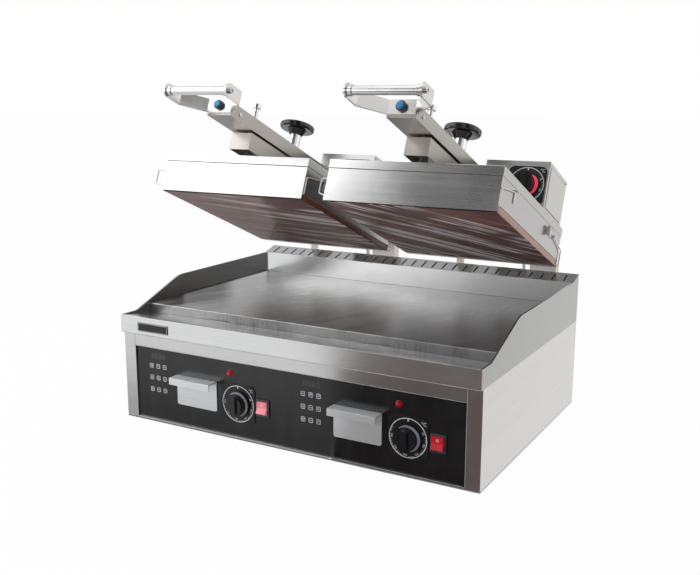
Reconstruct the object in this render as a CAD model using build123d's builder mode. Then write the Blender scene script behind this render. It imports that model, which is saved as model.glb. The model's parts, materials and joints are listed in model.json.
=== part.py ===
from build123d import *
import os
from math import cos, radians, sin

# A two-lid countertop contact grill, in millimetres.
# The origin is the middle of the cabinet's underside, +Z is up, and the front faces -Y.
# The lids are drawn half open, where friction in their hinges holds them.

# Cabinet
body_width = 700.0
body_depth = 500.0
cabinet_height = 163.5
cabinet_sheet = 1.2
lip_overhang = 8.0
post_width = 25.0
top_rail_height = 24.5
sill_height = 5.0
frame_thick = 3.0
pan_flange = 14.0
pan_slot_length = 60.0
pan_slot_width = 5.0
pan_slot_count = 6
pan_slot_pitch = 90.0

# Control panel
panel_thick = 4.0
panel_overlap = 3.5
group_inset = 187.5
knob_offset = 65.5
knob_height = 64.8
lamp_offset = 48.5
lamp_height = 117.2
rocker_offset = 116.5
rocker_height = 65.7
drawer_offset = -24.3

# Top tray and its guards
tray_sheet = 1.5
lip_height = 32.5
trough_run = 76.7
trough_drop = 9.7
bearing_width = 15.0
guard_thick = 3.0
guard_flat = 40.7
guard_ramp_end = 164.2
guard_height = 79.3
guard_front_radius = 30.0
guard_bend_radius = 60.0
wall_height = 80.8
strip_depth = 36.8
strip_rise = 10.9
slot_count = 30
slot_pitch = 22.75
slot_width = 3.5
slot_length = 27.0
drain_length = 44.0
drain_width = 3.0
drain_inset = 2.5

# Griddle plate and its heaters
plate_thick = 16.4
plate_gap = 0.5
plate_edge = 1.0
heater_radius = 4.25
heater_gap = 0.4
heater_bend = 22.0
heater_margin = 40.0
heater_runs = 4

# Grease drawers
drawer_front_width = 88.0
drawer_front_height = 54.5
drawer_front_low = 42.5
drawer_front_corner = 4.0
drawer_sheet = 1.5
drawer_handle_depth = 22.0
drawer_handle_lip = 12.0
drawer_box_width = 76.0
drawer_box_height = 40.0
drawer_box_depth = 165.0
drawer_box_lift = 4.0
drawer_play = 1.5
drawer_front_gap = 0.5
runner_width = 12.0
runner_sheet = 1.5
runner_gap = 0.5

# Dials, lamps and rocker switches
dial_size = 70.0
dial_corner = 11.0
dial_thick = 1.6
dial_bore_gap = 0.06
dial_hole_gap = 1.5
dial_body_size = 38.0
dial_body_depth = 20.0
knob_gap = 0.6
knob_skirt_radius = 24.0
knob_skirt_thick = 3.5
knob_body_radius = 16.5
knob_body_length = 10.0
knob_taper = 5.0
knob_grip_width = 11.0
knob_grip_length = 31.0
knob_grip_rise = 4.0
knob_shaft_radius = 4.0
knob_shaft_length = 16.0
knob_shaft_end_gap = 1.0
knob_grip_corner = 3.5
lamp_radius = 5.0
lamp_fit = 0.1
lamp_body = 12.0
lamp_rim_radius = 6.2
lamp_rim_thick = 0.8
rocker_frame_width = 27.0
rocker_frame_height = 30.0
rocker_frame_thick = 2.4
rocker_frame_corner = 2.0
rocker_body_depth = 14.0
rocker_width = 19.4
rocker_radius = 11.2
rocker_play = 0.4
rocker_face = 3.6
rocker_wing = 10.0
rocker_sink = 1.0
rocker_wall = 1.6
rocker_trunnion_radius = 1.5
rocker_trunnion_length = 1.4
rocker_trunnion_fit = 0.06

# Plain badge on the lip
badge_width = 69.0
badge_height = 16.0
badge_thick = 1.2
badge_left = 75.0
badge_drop = 17.8
badge_corner = 1.5

# Cable gland in the back, and six sides on every nut and socket
hex_sides = 6
gland_x = -290.0
gland_height = 70.0
gland_thread_radius = 8.0
gland_bore_radius = 5.5
gland_nut_radius = 12.0
gland_nut_length = 6.0
gland_cap_radius = 10.0
gland_cap_length = 12.0
gland_tail = 8.0
gland_fit = 0.1

# Lids and how they stand
lid_gap = 41.0
open_angle = 22.75
lid_setback = 10.8
hinge_back = 518.1
hinge_up = 79.9
press_travel = 6.0
press_gap = 0.5
lid_width = 308.0
lid_depth = 352.0
lid_height = 72.0
cap_height = 15.0
lid_sheet = 1.2
cap_step = 0.8
cap_edge = 0.8
upper_plate_thick = 10.0
upper_plate_inset = 2.0
band_gap = 1.0
sheet_thick = 0.6
sheet_gap = 0.3
sheet_end_inset = 3.0

# Control box on each lid
box_left = 28.5
box_width = 119.0
box_front = 237.0
box_height = 90.0
box_sheet = 1.2
box_cover_margin = 9.0
box_cover_thick = 0.8
box_dial_x = 109.5
box_dial_rise = 45.0
box_screw_radius = 2.4
box_screw_thick = 1.2

# Sheet clips at the front corners, and the bail behind
wire_radius = 1.2
clip_s = 3.0
clip_low = 9.0
clip_high = 38.0
clip_skew = 3.0
clip_bend = 3.0
clip_stand = 2.0
clip_reach = {"left": 18.0, "right": 11.0}
hook_s = 66.0
hook_width = 8.0
hook_low = 32.0
hook_high = 53.0
hook_thick = 1.5
hook_reach = 6.0
latch_front_inset = 94.0
latch_back_inset = 60.0
latch_rise = 43.0
latch_height = 11.0
latch_plate = 1.0
latch_screw_insets = (84.0, 72.0)
latch_screw_radius = 2.2
latch_screw_head = 0.8
latch_tab_reach = 6.0
latch_tab_height = 17.0
latch_stand = 0.8
latch_ear = 1.6
latch_ear_radius = 4.5
latch_pin_inset = 52.0
latch_pin_radius = 2.0
latch_pin_fit = 0.06
latch_pin_head_radius = 3.5
bail_root = 3.5
bail_clear = 5.0
bail_bend_rise = 31.0
bail_low = 1.0
bail_bend = 5.0

# Arm and handle
arm_width = 50.0
arm_low = 118.0
arm_high = 142.0
arm_wall = 2.0
arm_front = -75.0
arm_tail = 26.0
lug_thick = 4.0
lug_radius = 18.0
lug_root = 64.0
barrel_radius = 14.0
barrel_length = 124.0
head_half_width = 24.5
head_rise = 135.0
head_height = 24.0
head_sheet = 3.0
head_spread = 62.0
head_forward = 31.0
bar_forward = 62.0
bar_radius = 7.25
bar_collar_radius = 9.0
bar_collar_length = 8.0
bar_bolt_radius = 3.0
bar_bolt_gap = 0.2
bar_bolt_head_radius = 5.0
bar_bolt_head = 5.0
bar_bolt_depth = 14.0
button_radius = 6.2
button_length = 6.0
button_dome = 2.0
button_travel = 2.5
button_play = 0.3
button_frame_radius = 8.5
button_frame_length = 5.0
button_frame_wall = 1.2
button_frame_floor = 1.0
button_tail_radius = 5.0
button_tail_length = 9.0
head_hole_gap = 0.1

# Saddle under the arm, its guides and the screw
saddle_width = 43.0
saddle_low = 84.0
saddle_high = 115.0
saddle_front = 3.0
saddle_back = 310.0
saddle_wall = 2.0
web_low = 94.0
web_thick = 6.0
guide_inset = 32.0
guide_radius = 7.5
guide_fit = 0.06
guide_top = 108.0
guide_flange_radius = 12.0
guide_flange_thick = 3.0
screw_s = 170.0
screw_radius = 6.0
screw_fit = 0.06
screw_end = 75.0
nut_radius = 11.0
nut_height = 18.0
nut_floor = 2.0
hub_radius = 11.0
hub_rise = 31.5
hub_gap = 0.4
wheel_radius = 34.0
wheel_thick = 11.0
wheel_neck_radius = 12.5
wheel_flare_radius = 20.0
wheel_neck_height = 10.5
wheel_neck_gap = 0.05
wheel_lobes = 6
wheel_scallop_radius = 16.0
wheel_scallop = 2.0
wheel_edge = 4.0
stop_bolt_s = 30.0
stop_bolt_top = 179.5
stop_bolt_rear_s = 285.0
stop_bolt_head_radius = 7.0
stop_bolt_head = 8.0
stop_bolt_radius = 4.2
stop_bolt_hole = 4.4
bolt_nut_radius = 7.2
bolt_nut_height = 4.0
spacer_radius = 8.0
rivet_s = -45.0
rivet_radius = 2.6
rivet_head_radius = 3.3
rivet_head = 1.2
socket_radius = 2.5
socket_depth = 3.0

# Hinge towers behind the cabinet
tower_half_width = 67.0
tower_sheet = 4.0
tower_low = 90.0
tower_plate_top = 240.0
tower_cheek_top = 300.0
tower_nose_radius = 22.0
tower_foot_run = 50.0
tower_foot_high = 225.0
tower_flange = 9.5
tower_flange_low = 230.0
tower_post_depth = 8.0
tower_waist_low = 240.0
tower_waist_high = 266.0
pin_radius = 8.0
pin_fit = 0.05
pin_seat = 0.02
pin_head_radius = 12.0
pin_head_thick = 4.0
spring_box_gap = 11.0
spring_box_width = 52.0
spring_box_depth = 22.0
spring_box_low = 150.0
spring_box_high = 292.0
tower_bolt_radius = 3.0
tower_bolt_head_radius = 5.5
tower_bolt_head = 4.0
tower_bolt_rise = 60.0
tower_bolt_spread = 50.0
tower_bolt_hole = 3.2
vent_count = 9
vent_length = 40.0
vent_width = 4.0
vent_pitch = 12.0
vent_height = 105.0

# Places that follow from the sizes
front_y = -body_depth / 2
rear_y = body_depth / 2
side_x = body_width / 2
cabinet_front = front_y + lip_overhang
panel_front = cabinet_front + frame_thick
panel_back = panel_front + panel_thick
tray_rim = cabinet_height + lip_height
trough_low = tray_rim - trough_drop
plate_front = front_y + trough_run
plate_top = trough_low + plate_thick
wall_y = rear_y - strip_depth
wall_top = cabinet_height + wall_height
guard_top = cabinet_height + guard_height
arm_pitch = lid_width + lid_gap
group_pitch = body_width - 2 * group_inset
arm_centres = (("left", -arm_pitch / 2), ("right", arm_pitch / 2))
group_centres = (("left", -group_pitch / 2), ("right", group_pitch / 2))

# The closed lid stands over the plate by the press travel, the sheet and a small gap
sheet_bottom = -sheet_gap - sheet_thick
closed_height = plate_top + press_travel + press_gap - sheet_bottom
hinge_y = plate_front + lid_setback + hinge_back
hinge_z = closed_height + hinge_up
cos_a = cos(radians(open_angle))
sin_a = sin(radians(open_angle))
lid_y = hinge_y - hinge_back * cos_a - hinge_up * sin_a
lid_z = hinge_z + hinge_back * sin_a - hinge_up * cos_a


# The point x to the right, s back along the open lid and h square up from its face
def at(x, s, h):
    return (x, lid_y + s * cos_a + h * sin_a, lid_z - s * sin_a + h * cos_a)


# A plane lying in the lid at height h: across is +X, up the sheet is back along the lid
def level(h, x=0.0, s=0.0):
    return Plane(origin=at(x, s, h), x_dir=(1, 0, 0), z_dir=(0, sin_a, cos_a))


# A plane standing along the lid, facing +X: across is back along the lid, up is off its face
def upright(x, s=0.0, h=0.0):
    return Plane(origin=at(x, s, h), x_dir=(0, cos_a, -sin_a), z_dir=(1, 0, 0))


# A plane standing across the lid and facing the cook
def facing(s, x=0.0, h=0.0):
    return Plane(origin=at(x, s, h), x_dir=(1, 0, 0), z_dir=(0, -cos_a, sin_a))


# The line square to the lid through a point of it
def lift_axis(x, s):
    return Axis(at(x, s, 0.0), (0, sin_a, cos_a))


def save(builder, name):
    builder.part.label = name
    export_step(builder.part, f"parts/{name}.step")


os.makedirs("parts", exist_ok=True)

# Bottom pan: a floor sheet with turned-up sides and rows of air slots
pan_half = side_x - cabinet_sheet
pan_front = panel_back + runner_gap
pan_back = rear_y - cabinet_sheet
with BuildPart() as bottom_pan:
    with BuildSketch(Plane.XZ.offset(-pan_front)):
        with BuildLine():
            Polyline(
                (-pan_half, pan_flange),
                (-pan_half, 0),
                (pan_half, 0),
                (pan_half, pan_flange),
                (pan_half - cabinet_sheet, pan_flange),
                (pan_half - cabinet_sheet, cabinet_sheet),
                (cabinet_sheet - pan_half, cabinet_sheet),
                (cabinet_sheet - pan_half, pan_flange),
                close=True,
            )
        make_face()
    extrude(amount=pan_front - pan_back)
    with BuildSketch(Plane.XY):
        with GridLocations(pan_slot_pitch, body_depth / 2, pan_slot_count, 2):
            SlotOverall(pan_slot_length, pan_slot_width)
    extrude(amount=cabinet_sheet, mode=Mode.SUBTRACT)
save(bottom_pan, "bottom_pan")

# Side panels: two flat sheets flush with the tray above
with BuildPart() as side_panels:
    with BuildSketch(Plane.YZ.offset(side_x - cabinet_sheet)):
        with BuildLine():
            Polyline(
                (cabinet_front, 0),
                (rear_y, 0),
                (rear_y, cabinet_height),
                (cabinet_front, cabinet_height),
                close=True,
            )
        make_face()
    extrude(amount=cabinet_sheet)
    mirror(about=Plane.YZ)
save(side_panels, "side_panels")

# Back panel: a sheet with vent slots, the gland's hole and the tower bolts' holes
tower_bolt_places = [
    (centre + spread, tower_low + rise)
    for side, centre in arm_centres
    for spread in (-tower_bolt_spread, tower_bolt_spread)
    for rise in (pan_flange, pan_flange + tower_bolt_rise / 2)
]
with BuildPart() as back_panel:
    with BuildSketch(Plane.XZ.offset(-rear_y)):
        with Locations((0, cabinet_height / 2)):
            Rectangle(2 * pan_half, cabinet_height)
        with Locations((gland_x, gland_height)):
            Circle(gland_thread_radius + gland_fit, mode=Mode.SUBTRACT)
        with Locations(tower_bolt_places):
            Circle(tower_bolt_hole, mode=Mode.SUBTRACT)
        with Locations((0, vent_height)):
            with GridLocations(vent_pitch, 0, vent_count, 1):
                SlotOverall(vent_length, vent_width, rotation=90, mode=Mode.SUBTRACT)
    extrude(amount=cabinet_sheet)
save(back_panel, "back_panel")

# Front frame: two posts, a deep top rail and a low sill round the control panel
opening_width = body_width - 2 * post_width
opening_height = cabinet_height - top_rail_height - sill_height
opening_middle = sill_height + opening_height / 2
with BuildPart() as front_frame:
    with BuildSketch(Plane.XZ.offset(-cabinet_front)):
        with Locations((0, cabinet_height / 2)):
            Rectangle(2 * pan_half, cabinet_height)
        with Locations((0, opening_middle)):
            Rectangle(opening_width, opening_height, mode=Mode.SUBTRACT)
    extrude(amount=-frame_thick)
save(front_frame, "front_frame")

# Control panel: black glass with openings for the drawers, dials, lamps and rockers
drawer_front_top = drawer_front_low + drawer_front_height
drawer_box_low = drawer_front_low + drawer_box_lift
drawer_box_middle = drawer_box_low + drawer_box_height / 2
rocker_body_width = rocker_width + 2 * rocker_play + 2 * rocker_wall
rocker_body_height = 2 * (rocker_radius + rocker_play + rocker_wall)
with BuildPart() as control_panel:
    with BuildSketch(Plane.XZ.offset(-panel_front)):
        with Locations((0, opening_middle)):
            Rectangle(opening_width + 2 * panel_overlap, opening_height + 2 * panel_overlap)
        for side, centre in group_centres:
            with Locations((centre + drawer_offset, drawer_box_middle)):
                Rectangle(
                    drawer_box_width + 2 * drawer_play,
                    drawer_box_height + 2 * drawer_play,
                    mode=Mode.SUBTRACT,
                )
            with Locations((centre + knob_offset, knob_height)):
                Circle(knob_shaft_radius + dial_hole_gap, mode=Mode.SUBTRACT)
            with Locations((centre + lamp_offset, lamp_height)):
                Circle(lamp_radius + lamp_fit, mode=Mode.SUBTRACT)
            with Locations((centre + rocker_offset, rocker_height)):
                Rectangle(
                    rocker_body_width + 2 * lamp_fit,
                    rocker_body_height + 2 * lamp_fit,
                    mode=Mode.SUBTRACT,
                )
    extrude(amount=-panel_thick)
save(control_panel, "control_panel")

# Top tray: the folded lip, the sloping trough, the slotted rear strip and both guards
inner_half = side_x - guard_thick
with BuildPart() as top_tray:
    with BuildSketch(Plane.YZ):
        with BuildLine():
            Polyline(
                (front_y, cabinet_height),
                (front_y, tray_rim),
                (plate_front, trough_low),
                (plate_front + bearing_width, trough_low),
                (plate_front + bearing_width, trough_low - tray_sheet),
                (plate_front, trough_low - tray_sheet),
                (front_y + tray_sheet, tray_rim - tray_sheet),
                (front_y + tray_sheet, cabinet_height + tray_sheet),
                (panel_front, cabinet_height + tray_sheet),
                (panel_front, cabinet_height),
                close=True,
            )
        make_face()
        with BuildLine():
            Polyline(
                (wall_y - bearing_width, trough_low),
                (wall_y, trough_low),
                (wall_y, wall_top),
                (rear_y, wall_top + strip_rise),
                (rear_y, cabinet_height),
                (rear_y - tray_sheet, cabinet_height),
                (rear_y - tray_sheet, wall_top + strip_rise - 2 * tray_sheet),
                (wall_y + tray_sheet, wall_top - tray_sheet),
                (wall_y + tray_sheet, trough_low - tray_sheet),
                (wall_y - bearing_width, trough_low - tray_sheet),
                close=True,
            )
        make_face()
    extrude(amount=inner_half, both=True)
    with BuildSketch(Plane.YZ.offset(inner_half)):
        with BuildLine():
            guard_line = FilletPolyline(
                (front_y, cabinet_height),
                (front_y, tray_rim),
                (front_y + guard_flat, tray_rim),
                (front_y + guard_ramp_end, guard_top),
                (wall_y, wall_top),
                (rear_y, wall_top + strip_rise),
                (rear_y, cabinet_height),
                radius=(0, guard_front_radius, guard_bend_radius, 0, 0),
            )
            Line(guard_line @ 1, guard_line @ 0)
        make_face()
    guard_right = extrude(amount=guard_thick)
    mirror(guard_right, about=Plane.YZ)
    with BuildSketch(Plane.XY.offset(wall_top - tray_sheet)):
        with Locations((0, rear_y - strip_depth / 2)):
            with GridLocations(slot_pitch, 0, slot_count, 1):
                SlotOverall(slot_length, slot_width, rotation=90)
    extrude(amount=strip_rise + 2 * tray_sheet, mode=Mode.SUBTRACT)
    with BuildSketch(Plane.XY.offset(trough_low - 2 * tray_sheet)):
        for side, centre in group_centres:
            drain_y = plate_front - drain_inset - drain_width / 2
            with Locations((centre + drawer_offset, drain_y)):
                SlotOverall(drain_length, drain_width)
    extrude(amount=4 * tray_sheet, mode=Mode.SUBTRACT)
save(top_tray, "top_tray")

# Griddle plate: one thick steel slab resting on the tray's bearings
plate_half = inner_half - plate_gap
plate_back = wall_y - plate_gap
with BuildPart() as griddle_plate:
    with BuildSketch(Plane.XY.offset(trough_low)):
        with Locations((0, (plate_front + plate_back) / 2)):
            Rectangle(2 * plate_half, plate_back - plate_front)
    extrude(amount=plate_thick)
    chamfer(griddle_plate.faces().sort_by(Axis.Z)[-1].edges(), plate_edge)
save(griddle_plate, "griddle_plate")

# Lower heaters: a bent tube under each half of the plate
heater_z = trough_low - heater_radius - heater_gap
heater_low_y = plate_front + heater_margin
heater_high_y = plate_back - heater_margin
heater_span = inner_half - 2 * heater_margin
heater_step = heater_span / (heater_runs - 1)
with BuildPart() as lower_heaters:
    for hand in (-1, 1):
        points = []
        for run in range(heater_runs):
            run_x = hand * (heater_margin + run * heater_step)
            ends = (heater_low_y, heater_high_y) if run % 2 else (heater_high_y, heater_low_y)
            points.append((run_x, ends[0], heater_z))
            points.append((run_x, ends[1], heater_z))
        with BuildLine() as heater_path:
            FilletPolyline(*points, radius=heater_bend)
        start = Plane(origin=points[0], z_dir=(0, points[1][1] - points[0][1], 0))
        with BuildSketch(start):
            Circle(heater_radius)
        sweep(path=heater_path.wires()[0])
save(lower_heaters, "lower_heaters")

# Drawer runners: two low angles on the pan under each drawer
runner_top = drawer_box_low - runner_gap
with BuildPart() as drawer_runners:
    for side, centre in group_centres:
        for hand in (-1, 1):
            outer = centre + drawer_offset + hand * (drawer_box_width / 2 + drawer_play)
            with BuildSketch(Plane.XZ.offset(-pan_front)):
                with BuildLine():
                    Polyline(
                        (outer, cabinet_sheet),
                        (outer + hand * runner_sheet, cabinet_sheet),
                        (outer + hand * runner_sheet, runner_top),
                        (outer - hand * runner_width, runner_top),
                        (outer - hand * runner_width, runner_top - runner_sheet),
                        (outer, runner_top - runner_sheet),
                        close=True,
                    )
                make_face()
            extrude(amount=-drawer_box_depth)
save(drawer_runners, "drawer_runners")

# Grease drawers: a plate folded forward into a grip, with an open box behind it
drawer_face = panel_front - drawer_front_gap - drawer_sheet
for side, centre in group_centres:
    drawer_x = centre + drawer_offset
    with BuildPart() as drawer:
        with BuildSketch(Plane.XZ.offset(-drawer_face)):
            with Locations((drawer_x, drawer_front_low + drawer_front_height / 2)):
                RectangleRounded(drawer_front_width, drawer_front_height, drawer_front_corner)
            top_corners_height = drawer_front_top - drawer_front_corner / 2
            with Locations((drawer_x, top_corners_height)):
                Rectangle(drawer_front_width, drawer_front_corner)
        extrude(amount=-drawer_sheet)
        with BuildSketch(Plane.YZ.offset(drawer_x)):
            with BuildLine():
                Polyline(
                    (drawer_face + drawer_sheet, drawer_front_top),
                    (drawer_face - drawer_handle_depth, drawer_front_top),
                    (drawer_face - drawer_handle_depth, drawer_front_top - drawer_handle_lip),
                    (
                        drawer_face - drawer_handle_depth + drawer_sheet,
                        drawer_front_top - drawer_handle_lip,
                    ),
                    (
                        drawer_face - drawer_handle_depth + drawer_sheet,
                        drawer_front_top - drawer_sheet,
                    ),
                    (drawer_face + drawer_sheet, drawer_front_top - drawer_sheet),
                    close=True,
                )
            make_face()
        extrude(amount=drawer_front_width / 2, both=True)
        with BuildSketch(Plane.XY.offset(drawer_box_low)):
            with Locations((drawer_x, drawer_face + drawer_sheet + drawer_box_depth / 2)):
                Rectangle(drawer_box_width, drawer_box_depth)
        extrude(amount=drawer_box_height)
        with BuildSketch(Plane.XY.offset(drawer_box_low + drawer_sheet)):
            with Locations((drawer_x, drawer_face + drawer_sheet + drawer_box_depth / 2)):
                Rectangle(drawer_box_width - 2 * drawer_sheet, drawer_box_depth - 2 * drawer_sheet)
        extrude(amount=drawer_box_height, mode=Mode.SUBTRACT)
    save(drawer, f"drawer_{side}")


# A dial: a bored black square on a face, and the regulator's block behind the wall
def dial_plate(face, wall):
    with BuildPart() as plate:
        with BuildSketch(face):
            RectangleRounded(dial_size, dial_size, dial_corner)
            Circle(knob_shaft_radius + dial_bore_gap, mode=Mode.SUBTRACT)
        extrude(amount=dial_thick)
        with BuildSketch(face.offset(-wall)):
            Rectangle(dial_body_size, dial_body_size)
        extrude(amount=-dial_body_depth)
        with BuildSketch(face.offset(-wall)):
            Circle(knob_shaft_radius + dial_bore_gap)
        shaft_reach = knob_shaft_length - dial_thick - knob_gap + knob_shaft_end_gap
        extrude(amount=wall - shaft_reach, mode=Mode.SUBTRACT)
    return plate


# A dial knob: skirt, body and grip bar in front of the face, and a shaft through it
def dial_knob(face):
    front = dial_thick + knob_gap
    with BuildPart() as knob:
        with BuildSketch(face.offset(front)):
            Circle(knob_skirt_radius)
        extrude(amount=knob_skirt_thick)
        with BuildSketch(face.offset(front + knob_skirt_thick)):
            Circle(knob_body_radius)
        extrude(amount=knob_body_length, taper=knob_taper)
        with BuildSketch(face.offset(front + knob_skirt_thick)):
            RectangleRounded(knob_grip_width, knob_grip_length, knob_grip_corner)
        extrude(amount=knob_body_length + knob_grip_rise)
        with BuildSketch(face.offset(front)):
            Circle(knob_shaft_radius)
        extrude(amount=-knob_shaft_length)
    return knob


# Dial plates and knobs on the control panel
dial_faces = [
    Plane(
        origin=(centre + knob_offset, panel_front, knob_height),
        x_dir=(1, 0, 0),
        z_dir=(0, -1, 0),
    )
    for side, centre in group_centres
]
with BuildPart() as dial_plates:
    for face in dial_faces:
        add(dial_plate(face, panel_thick).part)
save(dial_plates, "dial_plates")

for (side, centre), face in zip(group_centres, dial_faces):
    panel_knob = dial_knob(face)
    save(panel_knob, f"panel_knob_{side}")

# Indicator lamps: a rimmed dome through the panel
with BuildPart() as indicator_lamps:
    for side, centre in group_centres:
        lamp_x = centre + lamp_offset
        with BuildSketch(Plane.YZ.offset(lamp_x)):
            with BuildLine():
                dome_foot = (panel_front - lamp_rim_thick, lamp_height + lamp_radius)
                dome_tip = (panel_front - lamp_rim_thick - lamp_radius, lamp_height)
                Polyline(
                    dome_tip,
                    (panel_front + lamp_body, lamp_height),
                    (panel_front + lamp_body, lamp_height + lamp_radius),
                    (panel_front, lamp_height + lamp_radius),
                    (panel_front, lamp_height + lamp_rim_radius),
                    dome_foot,
                )
                RadiusArc(dome_tip, dome_foot, lamp_radius)
            make_face()
        revolve(axis=Axis((lamp_x, panel_front, lamp_height), (0, 1, 0)))
save(indicator_lamps, "indicator_lamps")

# Rocker frames: a bezel on the panel with a box behind, open through the middle
rocker_centres = [(centre + rocker_offset, rocker_height) for side, centre in group_centres]
rocker_pivot_y = panel_front - rocker_frame_thick + rocker_sink
with BuildPart() as rocker_frames:
    with BuildSketch(Plane.XZ.offset(-panel_front)):
        with Locations(rocker_centres):
            RectangleRounded(rocker_frame_width, rocker_frame_height, rocker_frame_corner)
    extrude(amount=rocker_frame_thick)
    with BuildSketch(Plane.XZ.offset(-panel_front)):
        with Locations(rocker_centres):
            Rectangle(rocker_body_width, rocker_body_height)
    extrude(amount=-rocker_body_depth)
    with BuildSketch(Plane.XZ.offset(-panel_front + rocker_frame_thick)):
        with Locations(rocker_centres):
            Rectangle(rocker_width + 2 * rocker_play, 2 * (rocker_radius + rocker_play))
    extrude(amount=-rocker_frame_thick - rocker_body_depth + rocker_wall, mode=Mode.SUBTRACT)
    for rocker_x, rocker_z in rocker_centres:
        with BuildSketch(Plane.YZ.offset(rocker_x)):
            with Locations((rocker_pivot_y, rocker_z)):
                Circle(rocker_trunnion_radius + rocker_trunnion_fit)
        trunnion_hole = rocker_width / 2 + rocker_play + rocker_wall
        extrude(amount=trunnion_hole, both=True, mode=Mode.SUBTRACT)
save(rocker_frames, "rocker_frames")

# Rockers: a drum cut to two flats in front, on trunnions, tipped with its upper end in
for side, centre in group_centres:
    rocker_plane = Plane(
        origin=(centre + rocker_offset, rocker_pivot_y, rocker_height),
        x_dir=Vector(0, 1, 0).rotate(Axis.X, -rocker_wing),
        z_dir=(1, 0, 0),
    )
    wing_fall = rocker_radius * sin(radians(rocker_wing))
    with BuildPart() as rocker:
        with BuildSketch(rocker_plane):
            with BuildLine():
                Polyline(
                    (-rocker_face, 0),
                    (-rocker_face - wing_fall, rocker_radius),
                    (rocker_radius, rocker_radius),
                    (rocker_radius, -rocker_radius),
                    (-rocker_face - wing_fall, -rocker_radius),
                    close=True,
                )
            make_face()
            Circle(rocker_radius, mode=Mode.INTERSECT)
        extrude(amount=rocker_width / 2, both=True)
        with BuildSketch(rocker_plane):
            Circle(rocker_trunnion_radius)
        extrude(amount=rocker_width / 2 + rocker_trunnion_length, both=True)
    save(rocker, f"rocker_{side}")

# Plain badge on the lip: a flat tablet
with BuildPart() as name_plate:
    with BuildSketch(Plane.XZ.offset(-front_y)):
        with Locations((badge_left - side_x, tray_rim - badge_drop)):
            RectangleRounded(badge_width, badge_height, badge_corner)
    extrude(amount=badge_thick)
save(name_plate, "name_plate")

# Cable gland: a nut and a cap on a threaded body through the back panel
gland_plane = Plane(origin=(gland_x, rear_y, gland_height), z_dir=(0, 1, 0), x_dir=(-1, 0, 0))
with BuildPart() as cable_gland:
    with BuildSketch(gland_plane.offset(-cabinet_sheet - gland_tail)):
        Circle(gland_thread_radius)
    extrude(amount=gland_tail + cabinet_sheet + gland_nut_length)
    with BuildSketch(gland_plane):
        RegularPolygon(gland_nut_radius, side_count=hex_sides)
    extrude(amount=gland_nut_length)
    with BuildSketch(gland_plane.offset(gland_nut_length)):
        Circle(gland_cap_radius)
    extrude(amount=gland_cap_length)
    with BuildSketch(gland_plane.offset(-cabinet_sheet - gland_tail)):
        Circle(gland_bore_radius)
    extrude(
        amount=gland_tail + cabinet_sheet + gland_nut_length + gland_cap_length,
        mode=Mode.SUBTRACT,
    )
save(cable_gland, "cable_gland")

# Hinge towers: a folded bracket for each arm, with a closed spring box at its right
tower_y = rear_y
with BuildPart() as hinge_towers:
    for side, centre in arm_centres:
        plate_height = tower_plate_top - tower_low
        with BuildSketch(Plane.XZ.offset(-tower_y)):
            with Locations((centre, tower_low + plate_height / 2)):
                Rectangle(2 * tower_half_width, plate_height)
            for spread in (-tower_bolt_spread, tower_bolt_spread):
                for rise in (pan_flange, pan_flange + tower_bolt_rise / 2):
                    with Locations((centre + spread, tower_low + rise)):
                        Circle(tower_bolt_hole, mode=Mode.SUBTRACT)
        extrude(amount=-tower_sheet)
        for inner in (-tower_half_width, tower_half_width - tower_sheet):
            with BuildSketch(Plane.YZ.offset(centre + inner)):
                with BuildLine():
                    Polyline(
                        (tower_y, tower_low),
                        (tower_y + tower_foot_run, tower_low),
                        (tower_y + tower_foot_run, tower_foot_high),
                        (tower_y + tower_post_depth, tower_waist_low),
                        (tower_y + tower_post_depth, tower_waist_high),
                        (hinge_y + tower_nose_radius, hinge_z - tower_nose_radius),
                        (hinge_y + tower_nose_radius, hinge_z),
                        (hinge_y, hinge_z + tower_nose_radius),
                        (tower_y, tower_cheek_top),
                        close=True,
                    )
                make_face()
                with Locations((hinge_y, hinge_z)):
                    Circle(tower_nose_radius)
                    Circle(pin_radius + pin_seat, mode=Mode.SUBTRACT)
            extrude(amount=tower_sheet)
        flange_height = tower_cheek_top - tower_flange_low
        with BuildSketch(Plane.XZ.offset(-tower_y)):
            flange_x = centre - tower_half_width - tower_flange / 2
            with Locations((flange_x, tower_flange_low + flange_height / 2)):
                Rectangle(tower_flange, flange_height)
        extrude(amount=-tower_sheet)
        spring_middle = centre + tower_half_width + spring_box_gap + spring_box_width / 2
        spring_height = spring_box_high - spring_box_low
        with BuildSketch(Plane.XY.offset(spring_box_low)):
            with Locations((spring_middle, tower_y + spring_box_depth / 2)):
                Rectangle(spring_box_width, spring_box_depth)
                Rectangle(
                    spring_box_width - 2 * tray_sheet,
                    spring_box_depth - 2 * tray_sheet,
                    mode=Mode.SUBTRACT,
                )
        extrude(amount=spring_height)
        with BuildSketch(Plane.XY.offset(spring_box_high - tray_sheet)):
            with Locations((spring_middle, tower_y + spring_box_depth / 2)):
                Rectangle(spring_box_width, spring_box_depth)
        extrude(amount=tray_sheet)
save(hinge_towers, "hinge_towers")

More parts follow.
